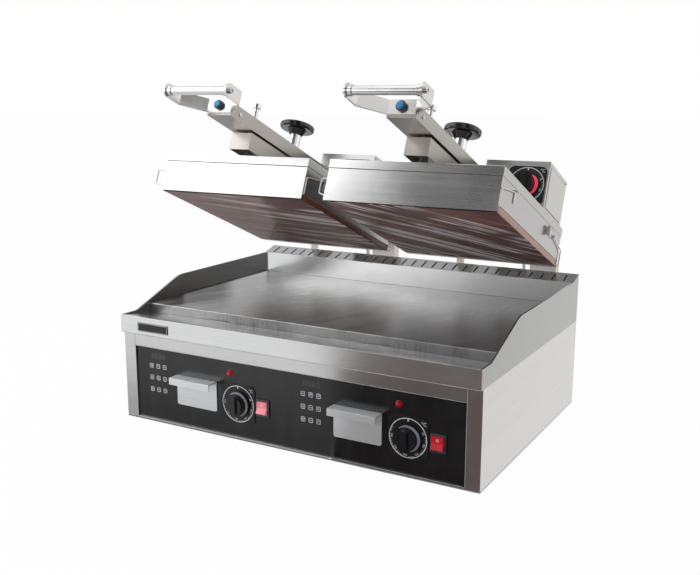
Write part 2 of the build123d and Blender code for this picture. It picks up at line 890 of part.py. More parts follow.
# Hinge pins and the screws and bolts of the cabinet
with BuildPart() as base_fasteners:
    for side, centre in arm_centres:
        pin_plane = Plane.YZ.offset(centre - tower_half_width - pin_head_thick)
        with BuildSketch(pin_plane):
            with Locations((hinge_y, hinge_z)):
                Circle(pin_head_radius)
        extrude(amount=pin_head_thick)
        with BuildSketch(pin_plane):
            with Locations((hinge_y, hinge_z)):
                Circle(pin_radius)
        extrude(amount=2 * tower_half_width + 2 * pin_head_thick)
    with BuildSketch(Plane.XZ.offset(-tower_y - tower_sheet)):
        with Locations(tower_bolt_places):
            Circle(tower_bolt_head_radius)
    extrude(amount=-tower_bolt_head)
    with BuildSketch(Plane.XZ.offset(-tower_y - tower_sheet)):
        with Locations(tower_bolt_places):
            Circle(tower_bolt_radius)
    extrude(amount=tower_sheet + cabinet_sheet + tower_bolt_head)
save(base_fasteners, "base_fasteners")

# Each arm with its lid: the same pieces twice, about the arm's middle line
bar_s = arm_front - bar_forward
saddle_length = saddle_back - saddle_front
guide_places = (saddle_front + guide_inset, saddle_back - guide_inset)
housing_half = lid_width / 2 - cap_step
housing_front = cap_step
housing_back = lid_depth - cap_step
cap_low = lid_height - cap_height
band_low = upper_plate_thick + band_gap
box_depth = lid_depth - box_front
arm_height = arm_high - arm_low
arm_middle = (arm_low + arm_high) / 2
arm_end = hinge_back + arm_tail
head_outer = head_spread + head_sheet
wheel_low = arm_high + hub_gap + hub_rise
wheel_back = wheel_low + wheel_neck_height
button_seat = arm_front - button_frame_floor
button_back = button_seat - button_travel - button_play
stem_bore = button_tail_radius + button_play
sleeve_radius = stem_bore + button_frame_wall
saddle_bolts = ((stop_bolt_s, stop_bolt_top), (stop_bolt_rear_s, arm_high + stop_bolt_head))
latch_front = lid_depth - latch_front_inset
latch_back = lid_depth - latch_back_inset
latch_pin_s = lid_depth - latch_pin_inset
bail_back = lid_depth + bail_clear
for side, centre in arm_centres:
    # Arm: a rectangular tube closed in front, with two lugs and a barrel round the hinge pin
    with BuildPart() as arm:
        with BuildSketch(facing(arm_front + head_sheet, centre, arm_middle)):
            Rectangle(arm_width, arm_height)
            Rectangle(arm_width - 2 * arm_wall, arm_height - 2 * arm_wall, mode=Mode.SUBTRACT)
        extrude(amount=arm_front + head_sheet - arm_end)
        with BuildSketch(facing(arm_front + head_sheet, centre, arm_middle)):
            Rectangle(arm_width - arm_wall, arm_height - arm_wall)
        extrude(amount=-arm_wall)
        with BuildSketch(facing(arm_front + head_sheet, centre, head_rise)):
            Circle(stem_bore)
        extrude(amount=-arm_wall, mode=Mode.SUBTRACT)
        for lug_x in (-arm_width / 2, arm_width / 2 - lug_thick):
            with BuildSketch(upright(centre + lug_x)):
                with BuildLine():
                    Polyline(
                        (hinge_back - lug_root, arm_low),
                        (arm_end, arm_low),
                        (hinge_back + lug_radius, hinge_up),
                        (hinge_back - lug_radius, hinge_up),
                        close=True,
                    )
                make_face()
                with Locations((hinge_back, hinge_up)):
                    Circle(lug_radius)
            extrude(amount=lug_thick)
        with BuildSketch(upright(centre, hinge_back, hinge_up)):
            Circle(barrel_radius)
        extrude(amount=barrel_length / 2, both=True)
        with BuildSketch(upright(centre, hinge_back, hinge_up)):
            Circle(pin_radius + pin_fit)
        extrude(amount=barrel_length, both=True, mode=Mode.SUBTRACT)
        for hole_s, hole_radius in (
            (stop_bolt_s, stop_bolt_hole),
            (stop_bolt_rear_s, stop_bolt_hole),
            (screw_s, screw_radius + screw_fit),
        ):
            with BuildSketch(level(arm_low, centre, hole_s)):
                Circle(hole_radius)
            extrude(amount=arm_height, mode=Mode.SUBTRACT)
        with BuildSketch(upright(centre, rivet_s, arm_middle)):
            Circle(rivet_radius)
        extrude(amount=arm_width, both=True, mode=Mode.SUBTRACT)
    save(arm, f"arm_{side}")

    # Handle head: a strap bent round the arm's end into two forward cheeks
    with BuildPart() as handle_head:
        with BuildSketch(level(head_rise - head_height / 2, centre)):
            with BuildLine():
                strap = Polyline(
                    (-head_spread, bar_s - head_height / 2),
                    (-head_spread, arm_front - head_forward),
                    (-head_half_width, arm_front),
                    (head_half_width, arm_front),
                    (head_spread, arm_front - head_forward),
                    (head_spread, bar_s - head_height / 2),
                )
                offset(strap, amount=head_sheet, side=Side.LEFT)
            make_face()
        extrude(amount=head_height)
        with BuildSketch(upright(centre, bar_s, head_rise)):
            with Locations((-head_height / 4, 0)):
                Rectangle(head_height / 2, head_height)
            Circle(head_height / 2, mode=Mode.SUBTRACT)
        extrude(amount=head_outer, both=True, mode=Mode.SUBTRACT)
        with BuildSketch(upright(centre, bar_s, head_rise)):
            Circle(bar_bolt_radius + bar_bolt_gap)
        extrude(amount=head_outer, both=True, mode=Mode.SUBTRACT)
        with BuildSketch(facing(arm_front, centre, head_rise)):
            Circle(sleeve_radius + head_hole_gap)
        extrude(amount=-head_sheet, mode=Mode.SUBTRACT)
    save(handle_head, f"handle_head_{side}")

    # Handle bar: a round bar with a collar against each cheek and a tapped end
    with BuildPart() as handle_bar:
        with BuildSketch(upright(centre, bar_s, head_rise)):
            Circle(bar_radius)
        extrude(amount=head_spread, both=True)
        for hand in (-1, 1):
            bar_end = upright(centre + hand * head_spread, bar_s, head_rise)
            with BuildSketch(bar_end):
                Circle(bar_collar_radius)
            extrude(amount=-hand * bar_collar_length)
            with BuildSketch(bar_end):
                Circle(bar_bolt_radius)
            extrude(amount=-hand * bar_bolt_depth, mode=Mode.SUBTRACT)
    save(handle_bar, f"handle_bar_{side}")

    # Arm bolts: the bar's end bolts, the saddle's two bolts with spacers and nuts, a rivet
    with BuildPart() as arm_bolts:
        for hand in (-1, 1):
            cheek_face = upright(centre + hand * head_outer, bar_s, head_rise)
            with BuildSketch(cheek_face):
                Circle(bar_bolt_head_radius)
            extrude(amount=hand * bar_bolt_head)
            with BuildSketch(cheek_face):
                Circle(bar_bolt_radius)
            extrude(amount=-hand * (bar_bolt_depth + head_sheet))
            with BuildSketch(cheek_face.offset(hand * bar_bolt_head)):
                RegularPolygon(socket_radius, side_count=hex_sides)
            extrude(amount=-hand * socket_depth, mode=Mode.SUBTRACT)
            with BuildSketch(upright(centre + hand * arm_width / 2, rivet_s, arm_middle)):
                Circle(rivet_head_radius)
            extrude(amount=hand * rivet_head)
            with BuildSketch(upright(centre + hand * arm_width / 2, rivet_s, arm_middle)):
                Circle(rivet_radius)
            extrude(amount=-hand * arm_wall)
        for bolt_s, bolt_top in saddle_bolts:
            with BuildSketch(level(bolt_top, centre, bolt_s)):
                Circle(stop_bolt_head_radius)
            extrude(amount=-stop_bolt_head)
            with BuildSketch(level(bolt_top, centre, bolt_s)):
                Circle(stop_bolt_radius)
            extrude(amount=saddle_high - saddle_wall - bolt_nut_height - bolt_top)
            with BuildSketch(level(bolt_top, centre, bolt_s)):
                RegularPolygon(socket_radius, side_count=hex_sides)
            extrude(amount=-socket_depth, mode=Mode.SUBTRACT)
            with BuildSketch(level(saddle_high, centre, bolt_s)):
                Circle(spacer_radius)
            extrude(amount=arm_low - saddle_high)
            with BuildSketch(level(saddle_high - saddle_wall, centre, bolt_s)):
                RegularPolygon(bolt_nut_radius, side_count=hex_sides)
            extrude(amount=-bolt_nut_height)
    save(arm_bolts, f"arm_bolts_{side}")

    # Button frame: a flanged sleeve through the head's middle face
    with BuildPart() as button_frame:
        with BuildSketch(facing(arm_front, centre, head_rise)):
            Circle(button_frame_radius)
        extrude(amount=button_frame_length)
        with BuildSketch(facing(arm_front, centre, head_rise)):
            Circle(sleeve_radius)
        extrude(amount=-head_sheet)
        with BuildSketch(facing(button_seat, centre, head_rise)):
            Circle(button_radius + button_play)
        extrude(amount=button_frame_length, mode=Mode.SUBTRACT)
        with BuildSketch(facing(button_seat, centre, head_rise)):
            Circle(stem_bore)
        extrude(amount=-button_frame_floor - head_sheet, mode=Mode.SUBTRACT)
    save(button_frame, f"button_frame_{side}")

    # Push button: a domed cap on a stem
    with BuildPart() as push_button:
        with BuildSketch(facing(button_back, centre, head_rise)):
            Circle(button_radius)
        extrude(amount=button_length)
        fillet(push_button.faces().sort_by(Axis.Y)[0].edges(), button_dome)
        with BuildSketch(facing(button_back, centre, head_rise)):
            Circle(button_tail_radius)
        extrude(amount=-button_tail_length)
    save(push_button, f"push_button_{side}")

    # Saddle: a channel open below, with a web that guides the lid's two posts
    with BuildPart() as saddle:
        saddle_foot = level(saddle_low, centre, (saddle_front + saddle_back) / 2)
        with BuildSketch(saddle_foot):
            Rectangle(saddle_width, saddle_length)
        extrude(amount=saddle_high - saddle_low)
        with BuildSketch(saddle_foot):
            Rectangle(saddle_width - 2 * saddle_wall, saddle_length - 2 * saddle_wall)
        extrude(amount=saddle_high - saddle_low - saddle_wall, mode=Mode.SUBTRACT)
        with BuildSketch(saddle_foot.offset(web_low - saddle_low)):
            Rectangle(saddle_width - saddle_wall, saddle_length - saddle_wall)
        extrude(amount=web_thick)
        for guide_s in guide_places:
            with BuildSketch(level(web_low, centre, guide_s)):
                Circle(guide_radius + guide_fit)
            extrude(amount=web_thick, mode=Mode.SUBTRACT)
        with BuildSketch(level(web_low, centre, screw_s)):
            Circle(screw_radius + screw_fit)
        extrude(amount=saddle_high - web_low, mode=Mode.SUBTRACT)
        for bolt_s, bolt_top in saddle_bolts:
            with BuildSketch(level(saddle_high, centre, bolt_s)):
                Circle(stop_bolt_hole)
            extrude(amount=-saddle_wall, mode=Mode.SUBTRACT)
    save(saddle, f"saddle_{side}")

    # Lift screw: a plain rod with a hub, and an end that goes into the wheel's neck
    with BuildPart() as lift_screw:
        with BuildSketch(level(screw_end, centre, screw_s)):
            Circle(screw_radius)
        extrude(amount=wheel_back - wheel_neck_gap - screw_end)
        with BuildSketch(level(wheel_low, centre, screw_s)):
            Circle(hub_radius)
        extrude(amount=-hub_rise)
    save(lift_screw, f"lift_screw_{side}")

    # Handwheel: a scalloped disc with a flared neck piece under it
    with BuildPart() as handwheel:
        with BuildSketch(level(wheel_back, centre, screw_s)):
            Circle(wheel_radius)
        extrude(amount=wheel_thick)
        rim = handwheel.edges().filter_by(GeomType.CIRCLE).group_by(SortBy.RADIUS)[-1]
        fillet(rim, wheel_edge)
        with BuildSketch(level(wheel_back, centre, screw_s)):
            with PolarLocations(wheel_radius + wheel_scallop_radius - wheel_scallop, wheel_lobes):
                Circle(wheel_scallop_radius)
        extrude(amount=wheel_thick, mode=Mode.SUBTRACT)
        with BuildSketch(upright(centre, screw_s)):
            with BuildLine():
                Polyline(
                    (screw_radius, wheel_low),
                    (wheel_neck_radius, wheel_low),
                    (wheel_flare_radius, wheel_back - wheel_neck_gap),
                    (screw_radius, wheel_back - wheel_neck_gap),
                    close=True,
                )
            make_face()
        revolve(axis=lift_axis(centre, screw_s))
    save(handwheel, f"handwheel_{side}")

    # Lid housing: four walls, short at the sides where the sheet's bands show
    housing_depth = housing_back - housing_front
    with BuildPart() as lid_housing:
        with BuildSketch(level(0.0, centre, lid_depth / 2)):
            Rectangle(2 * housing_half, housing_depth)
            Rectangle(
                2 * housing_half - 2 * lid_sheet,
                housing_depth - 2 * lid_sheet,
                mode=Mode.SUBTRACT,
            )
        extrude(amount=cap_low)
        for hand in (-1, 1):
            with BuildSketch(level(0.0, centre + hand * housing_half, lid_depth / 2)):
                Rectangle(2 * lid_sheet, housing_depth - 2 * lid_sheet)
            extrude(amount=band_low, mode=Mode.SUBTRACT)
    save(lid_housing, f"lid_housing_{side}")

    # Lid cap: a shallow cover that steps out over the housing
    with BuildPart() as lid_cap:
        with BuildSketch(level(cap_low, centre, lid_depth / 2)):
            Rectangle(lid_width, lid_depth)
        extrude(amount=cap_height)
        fillet(lid_cap.faces().sort_by(lift_axis(centre, 0.0))[-1].edges(), cap_edge)
        with BuildSketch(level(cap_low, centre, lid_depth / 2)):
            Rectangle(
                2 * housing_half - 2 * lid_sheet,
                housing_depth - 2 * lid_sheet,
            )
        extrude(amount=cap_height - lid_sheet, mode=Mode.SUBTRACT)
    save(lid_cap, f"lid_cap_{side}")

    # Lid posts: the two guide posts and the nut of the lift screw
    with BuildPart() as lid_posts:
        for guide_s in guide_places:
            with BuildSketch(level(lid_height, centre, guide_s)):
                Circle(guide_flange_radius)
            extrude(amount=guide_flange_thick)
            with BuildSketch(level(lid_height, centre, guide_s)):
                Circle(guide_radius)
            extrude(amount=guide_top - lid_height)
        with BuildSketch(level(lid_height, centre, screw_s)):
            Circle(nut_radius)
        extrude(amount=nut_height)
        with BuildSketch(level(lid_height + nut_floor, centre, screw_s)):
            Circle(screw_radius + screw_fit)
        extrude(amount=nut_height, mode=Mode.SUBTRACT)
    save(lid_posts, f"lid_posts_{side}")

    # Upper plate: the heated slab held between the housing's front and back walls
    with BuildPart() as upper_plate:
        with BuildSketch(level(0.0, centre, lid_depth / 2)):
            Rectangle(
                2 * housing_half - 2 * upper_plate_inset,
                housing_depth - 2 * lid_sheet,
            )
        extrude(amount=upper_plate_thick)
    save(upper_plate, f"upper_plate_{side}")

    # Release sheet: a thin trough under the plate with a band up each side
    band_high = band_low - sheet_gap
    with BuildPart() as release_sheet:
        with BuildSketch(facing(housing_front + lid_sheet + sheet_end_inset, centre)):
            with BuildLine():
                Polyline(
                    (-housing_half, sheet_bottom),
                    (housing_half, sheet_bottom),
                    (housing_half, band_high),
                    (housing_half - sheet_thick, band_high),
                    (housing_half - sheet_thick, sheet_bottom + sheet_thick),
                    (sheet_thick - housing_half, sheet_bottom + sheet_thick),
                    (sheet_thick - housing_half, band_high),
                    (-housing_half, band_high),
                    close=True,
                )
            make_face()
        extrude(amount=2 * sheet_end_inset + 2 * lid_sheet - housing_depth)
    save(release_sheet, f"release_sheet_{side}")

    # Control box: a folded cover on the lid, with a screwed access plate at its right
    box_middle_s = box_front + box_depth / 2
    box_dial = facing(box_front, centre + box_dial_x, lid_height + box_dial_rise)
    with BuildPart() as control_box:
        with BuildSketch(level(lid_height, centre + box_left + box_width / 2, box_middle_s)):
            Rectangle(box_width, box_depth)
        extrude(amount=box_height)
        with BuildSketch(level(lid_height, centre + box_left + box_width / 2, box_middle_s)):
            Rectangle(box_width - 2 * box_sheet, box_depth - 2 * box_sheet)
        extrude(amount=box_height - box_sheet, mode=Mode.SUBTRACT)
        with BuildSketch(box_dial):
            Circle(knob_shaft_radius + dial_hole_gap)
        extrude(amount=-box_sheet, mode=Mode.SUBTRACT)
        box_side = upright(
            centre + box_left + box_width, box_middle_s, lid_height + box_height / 2
        )
        with BuildSketch(box_side):
            Rectangle(box_depth - 2 * box_cover_margin, box_height - 2 * box_cover_margin)
        extrude(amount=box_cover_thick)
        with BuildSketch(box_side):
            with GridLocations(box_depth - box_cover_margin, box_height - box_cover_margin, 2, 2):
                Circle(box_screw_radius)
        extrude(amount=box_screw_thick)
    save(control_box, f"control_box_{side}")

    lid_dial = dial_plate(box_dial, box_sheet)
    save(lid_dial, f"lid_dial_{side}")
    lid_knob = dial_knob(box_dial)
    save(lid_knob, f"lid_knob_{side}")

    # Sheet clips: a wire loop at the left front, and at the right a wire drawn back to a hook
    with BuildPart() as sheet_clips:
        left_x = centre - housing_half
        right_x = centre + housing_half
        loop_points = (
            at(left_x, clip_s, clip_low),
            at(left_x - clip_reach[side], clip_s, clip_low + clip_skew),
            at(left_x - clip_reach[side], clip_s, clip_high),
            at(left_x, clip_s, clip_high),
        )
        with BuildLine() as loop_path:
            FilletPolyline(*loop_points, radius=clip_bend)
        with BuildSketch(Plane(origin=loop_points[0], z_dir=loop_path.line % 0)):
            Circle(wire_radius)
        sweep(path=loop_path.wires()[0])
        wire_x = right_x + clip_stand
        wire_points = (
            at(wire_x, clip_s, clip_low),
            at(wire_x, clip_s, clip_high),
            at(wire_x, hook_s, hook_high - hook_thick - wire_radius),
        )
        with BuildLine() as wire_path:
            FilletPolyline(*wire_points, radius=clip_bend)
        with BuildSketch(Plane(origin=wire_points[0], z_dir=wire_path.line % 0)):
            Circle(wire_radius)
        sweep(path=wire_path.wires()[0])
        with BuildSketch(upright(right_x, clip_s, clip_low)):
            Circle(wire_radius)
        extrude(amount=clip_stand)
        with BuildSketch(facing(hook_s - hook_width / 2, right_x)):
            with BuildLine():
                Polyline(
                    (0, hook_low),
                    (hook_thick, hook_low),
                    (hook_thick, hook_high - hook_thick),
                    (hook_reach, hook_high - hook_thick),
                    (hook_reach, hook_high),
                    (0, hook_high),
                    close=True,
                )
            make_face()
        extrude(amount=-hook_width)
        latch_middle = (latch_front + latch_back) / 2
        with BuildSketch(upright(right_x, latch_middle, latch_rise)):
            Rectangle(latch_back - latch_front, latch_height)
        extrude(amount=latch_plate)
        for screw_inset in latch_screw_insets:
            screw_place = lid_depth - screw_inset
            with BuildSketch(upright(right_x + latch_plate, screw_place, latch_rise)):
                Circle(latch_screw_radius)
            extrude(amount=latch_screw_head)
        with BuildSketch(facing(latch_front, right_x + latch_plate, latch_rise)):
            Rectangle(2 * latch_tab_reach, latch_tab_height)
            with Locations((-latch_tab_reach, 0)):
                Rectangle(2 * latch_tab_reach, latch_tab_height, mode=Mode.SUBTRACT)
        extrude(amount=-hook_thick)
        for hand in (-1, 1):
            pin_x = centre + hand * (housing_half + latch_plate + latch_stand + latch_ear + latch_stand)
            with BuildSketch(upright(pin_x, latch_pin_s, latch_rise)):
                Circle(latch_pin_radius)
            extrude(amount=-hand * (latch_plate + latch_stand + latch_ear + latch_stand))
            with BuildSketch(upright(pin_x, latch_pin_s, latch_rise)):
                Circle(latch_pin_head_radius)
            extrude(amount=hand * latch_plate)
    save(sheet_clips, f"sheet_clips_{side}")

    # Sheet bail: a wire from ear to ear round the lid's lower back edge
    ear_x = housing_half + latch_plate + latch_stand + latch_ear / 2
    bail_offsets = (
        (latch_pin_s + bail_root, latch_rise),
        (bail_back, bail_bend_rise),
        (bail_back, bail_low),
    )
    bail_points = [at(centre + ear_x, *place) for place in bail_offsets]
    bail_points += [at(centre - ear_x, *place) for place in reversed(bail_offsets)]
    with BuildPart() as sheet_bail:
        with BuildLine() as bail_path:
            FilletPolyline(*bail_points, radius=bail_bend)
        with BuildSketch(Plane(origin=bail_points[0], z_dir=bail_path.line % 0)):
            Circle(wire_radius)
        sweep(path=bail_path.wires()[0])
        for hand in (-1, 1):
            ear_plane = upright(centre + hand * ear_x, latch_pin_s, latch_rise)
            with BuildSketch(ear_plane):
                Circle(latch_ear_radius)
            extrude(amount=latch_ear / 2, both=True)
            with BuildSketch(ear_plane):
                Circle(latch_pin_radius + latch_pin_fit)
            extrude(amount=latch_ear, both=True, mode=Mode.SUBTRACT)
    save(sheet_bail, f"sheet_bail_{side}")
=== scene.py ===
# %% [markdown]
# # A contact grill with two lids
#
# The object is a table-top cooker: a steel cabinet with one wide griddle plate, and two heated
# lids that hang from arms and close on it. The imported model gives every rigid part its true
# size and place. This lesson adds what the eye needs: brushed and blotched metal, black glass,
# printed marks, the thin brown release sheets, screws with real heads, a studio and a camera.
#
# Everything is in metres. The cabinet stands on z = 0 and the cook stands on the -Y side.

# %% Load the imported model
import json
import math

import bpy
import numpy as np
from mathutils import Matrix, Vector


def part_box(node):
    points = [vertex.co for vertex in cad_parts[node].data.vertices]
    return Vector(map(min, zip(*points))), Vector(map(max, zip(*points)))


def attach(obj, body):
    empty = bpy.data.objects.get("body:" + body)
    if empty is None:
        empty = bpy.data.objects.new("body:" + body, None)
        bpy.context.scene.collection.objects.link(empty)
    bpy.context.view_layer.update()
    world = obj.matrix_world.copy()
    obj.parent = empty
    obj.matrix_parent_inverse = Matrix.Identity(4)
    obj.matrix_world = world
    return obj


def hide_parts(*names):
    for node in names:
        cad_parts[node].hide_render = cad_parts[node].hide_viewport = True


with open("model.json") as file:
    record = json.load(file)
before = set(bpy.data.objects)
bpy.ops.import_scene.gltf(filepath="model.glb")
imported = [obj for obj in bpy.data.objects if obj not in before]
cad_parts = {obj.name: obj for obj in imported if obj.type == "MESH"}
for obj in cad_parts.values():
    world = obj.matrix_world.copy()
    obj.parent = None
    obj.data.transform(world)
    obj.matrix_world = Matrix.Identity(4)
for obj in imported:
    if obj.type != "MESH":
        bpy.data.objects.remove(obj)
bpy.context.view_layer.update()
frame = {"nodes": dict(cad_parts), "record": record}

MM = 0.001
SIDES = ("left", "right")

# %% [markdown]
# ## The lid's own directions
#
# Both lids stand open at the same angle. A point of a lid is easiest to give as x across,
# s back along the lid and h square up from its face. The angle and the lid's front edge are
# constants of the object, so one small function turns such a point into a place in the room.

# %% Places on an open lid
OPEN = math.radians(22.75)
BACK = np.array([0.0, math.cos(OPEN), -math.sin(OPEN)])
UP = np.array([0.0, math.sin(OPEN), math.cos(OPEN)])
ACROSS = np.array([1.0, 0.0, 0.0])
LID_START = np.array([0.0, -153.0905, 416.6711]) * MM


def on_lid(x, s, h):
    """A place in the room: the lid's start, plus x across, s back and h up, given in mm.
    The three may be arrays, and the result then has one row for each."""
    x, s, h = (np.asarray(value, float)[..., None] * MM for value in (x, s, h))
    return LID_START + x * ACROSS + s * BACK + h * UP


low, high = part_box("lid_cap_right")
print("right lid centre x", round((low.x + high.x) / 2, 4))
CENTRE = {"left": -174.5, "right": 174.5}

# %% [markdown]
# ## The camera
#
# The photograph was taken from the right of the front, a little above the plate. The place was
# worked out from the corners of the cabinet and the lids, and is kept to the millimetre,
# because a small slip shows as a gap between an edge here and the same edge there.

# %% Camera
EYE = np.array([0.8024, -1.4500, 0.5802])
AIM = np.array([-0.0182, 0.0125, 0.23335])
ROLL = math.radians(0.2077)


def look(eye, aim, roll):
    """A camera's turn: its back points from the aim to the eye, its right side is level, and
    then both turn by the roll about that line."""
    back = (eye - aim) / np.linalg.norm(eye - aim)
    right = np.cross([0.0, 0.0, 1.0], back)
    right = right / np.linalg.norm(right)
    top = np.cross(back, right)
    turned = right * math.cos(roll) + top * math.sin(roll)
    return np.stack([turned, np.cross(back, turned), back], axis=1)


camera_data = bpy.data.cameras.new("camera")
camera = bpy.data.objects.new("camera", camera_data)
bpy.context.scene.collection.objects.link(camera)
bpy.context.scene.camera = camera
camera_data.sensor_width = 36.0
camera_data.lens = 907.66 / 700.0 * camera_data.sensor_width
bpy.context.scene.view_settings.view_transform = "Standard"
turn = look(EYE, AIM, ROLL)
placed = np.eye(4)
placed[:3, :3] = turn
placed[:3, 3] = EYE
camera.matrix_world = Matrix(placed.tolist())
print("lens", round(camera_data.lens, 2), "mm")

# %% [markdown]
# ## Shader arithmetic
#
# A finish is a sum of small patterns. Written with node calls it is hard to read, so one class
# wraps a socket and lets it be added, multiplied and compared as a number would be. Each
# operator adds one Math node. A second class holds one material and adds every other node.

# %% Sockets that read as numbers
def plug(tree, slot, value):
    """Links a wrapped socket to a slot, or sets the slot to a plain number or colour."""
    if isinstance(value, Reading):
        tree.links.new(value.socket, slot)
    else:
        slot.default_value = value


class Reading:
    """A value that changes over a surface: the output socket of a node, with arithmetic."""

    def __init__(self, tree, socket):
        self.tree, self.socket = tree, socket

    def math(self, operation, *values):
        node = self.tree.nodes.new("ShaderNodeMath")
        node.operation = operation
        for slot, value in zip(node.inputs, values):
            plug(self.tree, slot, value)
        return Reading(self.tree, node.outputs[0])

    def __add__(self, other):
        return self.math("ADD", self, other)

    def __radd__(self, other):
        return self.math("ADD", other, self)

    def __sub__(self, other):
        return self.math("SUBTRACT", self, other)

    def __rsub__(self, other):
        return self.math("SUBTRACT", other, self)

    def __mul__(self, other):
        return self.math("MULTIPLY", self, other)

    def __rmul__(self, other):
        return self.math("MULTIPLY", other, self)

    def __truediv__(self, other):
        return self.math("DIVIDE", self, other)

    def __pow__(self, other):
        return self.math("POWER", self, other)

    def __gt__(self, other):
        return self.math("GREATER_THAN", self, other)

    def __abs__(self):
        return self.math("ABSOLUTE", self)

    def ramp(self, low, high):
        """0 up to low, 1 from high, and a smooth rise between them."""
        node = self.tree.nodes.new("ShaderNodeMapRange")
        node.interpolation_type = "SMOOTHSTEP"
        for slot, value in zip(node.inputs, (self, low, high)):
            plug(self.tree, slot, value)
        return Reading(self.tree, node.outputs[0])


class Finish:
    """One material. `node` adds a node, and the other methods are the mixes used here."""

    def __init__(self, name, metallic=0.0, **fixed):
        self.material = bpy.data.materials.new(name)
        self.material.use_nodes = True
        self.tree = self.material.node_tree
        self.surface = self.tree.nodes["Principled BSDF"]
        self.place = self.node("ShaderNodeTexCoord", out="Object")
        self.feed(Metallic=metallic, **fixed)

    def node(self, kind, values=None, out=0, **settings):
        """Adds a node, applies its settings, fills its sockets, and returns one output."""
        made = self.tree.nodes.new(kind)
        for name, value in settings.items():
            setattr(made, name, value)
        for name, value in (values or {}).items():
            plug(self.tree, made.inputs[name], value)
        return Reading(self.tree, made.outputs[out])

    def feed(self, **values):
        """Fills the surface's sockets: Base_Color stands for Base Color."""
        for name, value in values.items():
            plug(self.tree, self.surface.inputs[name.replace("_", " ")], value)
        return self

    def stretch(self, x, y, z, turn=0.0, vector=None):
        """The place on the object, turned about X and scaled along each axis."""
        turned = self.node(
            "ShaderNodeMapping",
            {"Vector": vector or self.place, "Rotation": (turn, 0.0, 0.0)},
        )
        return self.node(
            "ShaderNodeVectorMath", {0: turned, 1: (x, y, z)}, operation="MULTIPLY"
        )

    def noise(self, vector, scale=1.0, detail=3.0, rough=0.55, warp=0.0):
        """Soft noise from about 0.25 to 0.75, read at the given vector."""
        values = {
            "Vector": vector,
            "Scale": scale,
            "Detail": detail,
            "Roughness": rough,
            "Distortion": warp,
        }
        return self.node("ShaderNodeTexNoise", values)

    def part(self, vector, axis):
        """One component of a vector."""
        return self.node("ShaderNodeSeparateXYZ", {0: vector}, out="XYZ".index(axis))

    def blend(self, share, first, second):
        """first where share is 0 and second where it is 1, mixed as colours."""
        return self.node(
            "ShaderNodeMix", {0: share, 6: first, 7: second}, out=2, data_type="RGBA"
        )

    def tint(self, colour, shade):
        """A colour multiplied by another one."""
        values = {0: 1.0, 6: colour, 7: shade}
        return self.node("ShaderNodeMix", values, out=2, data_type="RGBA", blend_type="MULTIPLY")

    def relief(self, height, depth, strength=1.0, edge=0.0):
        """Bump from a height pattern, over a normal that rounds sharp edges by `edge`."""
        values = {"Height": height, "Distance": depth, "Strength": strength}
        if edge:
            values["Normal"] = self.node("ShaderNodeBevel", {"Radius": edge}, samples=4)
        return self.feed(Normal=self.node("ShaderNodeBump", values))


def grey(level, warm=0.0):
    """A neutral colour of that brightness; warm above 0 leans to straw, below 0 to blue."""
    return (level * (1 + warm), level, level * (1 - warm), 1.0)


print("shader helpers ready")

# %% [markdown]
# ## Brushed stainless steel
#
# Sheet steel for kitchens is brushed: belts leave fine parallel lines along the sheet. Seen
# from a step away the lines merge into soft streaks, so the finish sums a fine and a broad
# stretched noise. Folded faces turn the sheet, and the lines turn with it: a face that looks
# sideways carries them front to back, any other face from side to side. The face's own
# direction picks between the two, so one finish serves a whole folded part.

# %% Brushed steel
def brushed(name, level, rough=0.24, warm=0.02, turn=0.0, lines="x", side=1.0, top=1.0, metal=1.0):
    """Steel whose colour, roughness and height follow brushed lines. `lines` is the axis that
    they run along on most faces; `turn` lays them into the open lid; `side` and `top` scale the
    brightness of faces that look sideways or up, painted shade below 1 and painted light above;
    `metal` below 1 makes it scatter more of the room's light, as a coarse grain does. The lowest
    2 mm above the table is darkened as a painted contact shadow."""
    steel = Finish(name, metallic=metal)
    long, short = 5.0, 520.0
    along_x = steel.stretch(long, short, short, turn)
    along_y = steel.stretch(short, long, short, turn)
    along_z = steel.stretch(short, short, long, turn)
    facing = steel.node("ShaderNodeTexCoord", out="Normal")
    sideways = abs(steel.part(facing, "X")) > 0.5
    upward = steel.part(facing, "Z") > 0.6
    main = {"x": along_x, "y": along_y, "z": along_z}[lines]
    other = along_z if lines == "z" else along_y
    way = steel.node(
        "ShaderNodeMix", {0: sideways, 4: main, 5: other}, out=1, data_type="VECTOR"
    )
    fine = steel.noise(way, 1.0, 2.0)
    broad = steel.noise(way, 0.12, 3.0)
    haze = steel.noise(steel.place, 9.0, 3.0)
    streak = (fine - 0.5) * 0.34 + (broad - 0.5) * 0.26
    tone = (0.5 + streak + (haze - 0.5) * 0.25).ramp(0.0, 1.0)
    colour = steel.blend(tone, grey(level * 0.86, warm), grey(level * 1.1, warm))
    # Painted shade and light: sideways faces are scaled by side, with a faint warm tint, and upward
    # faces by top.
    shade = steel.blend(sideways, (1, 1, 1, 1), (side * 1.015, side, side * 0.98, 1))
    shade = steel.blend(upward, shade, (top, top, top, 1))
    # Painted contact shadow: the lowest 2 mm of every face is darkened to 0.3.
    shade = steel.blend(steel.part(steel.place, "Z") > 0.002, (0.3, 0.3, 0.3, 1), shade)
    steel.feed(
        Base_Color=steel.tint(colour, shade),
        Roughness=rough + streak * 0.16 + (haze - 0.5) * 0.12,
    )
    steel.relief(fine + broad * 0.2, 0.00003, 0.14, 0.0006)
    return steel.material
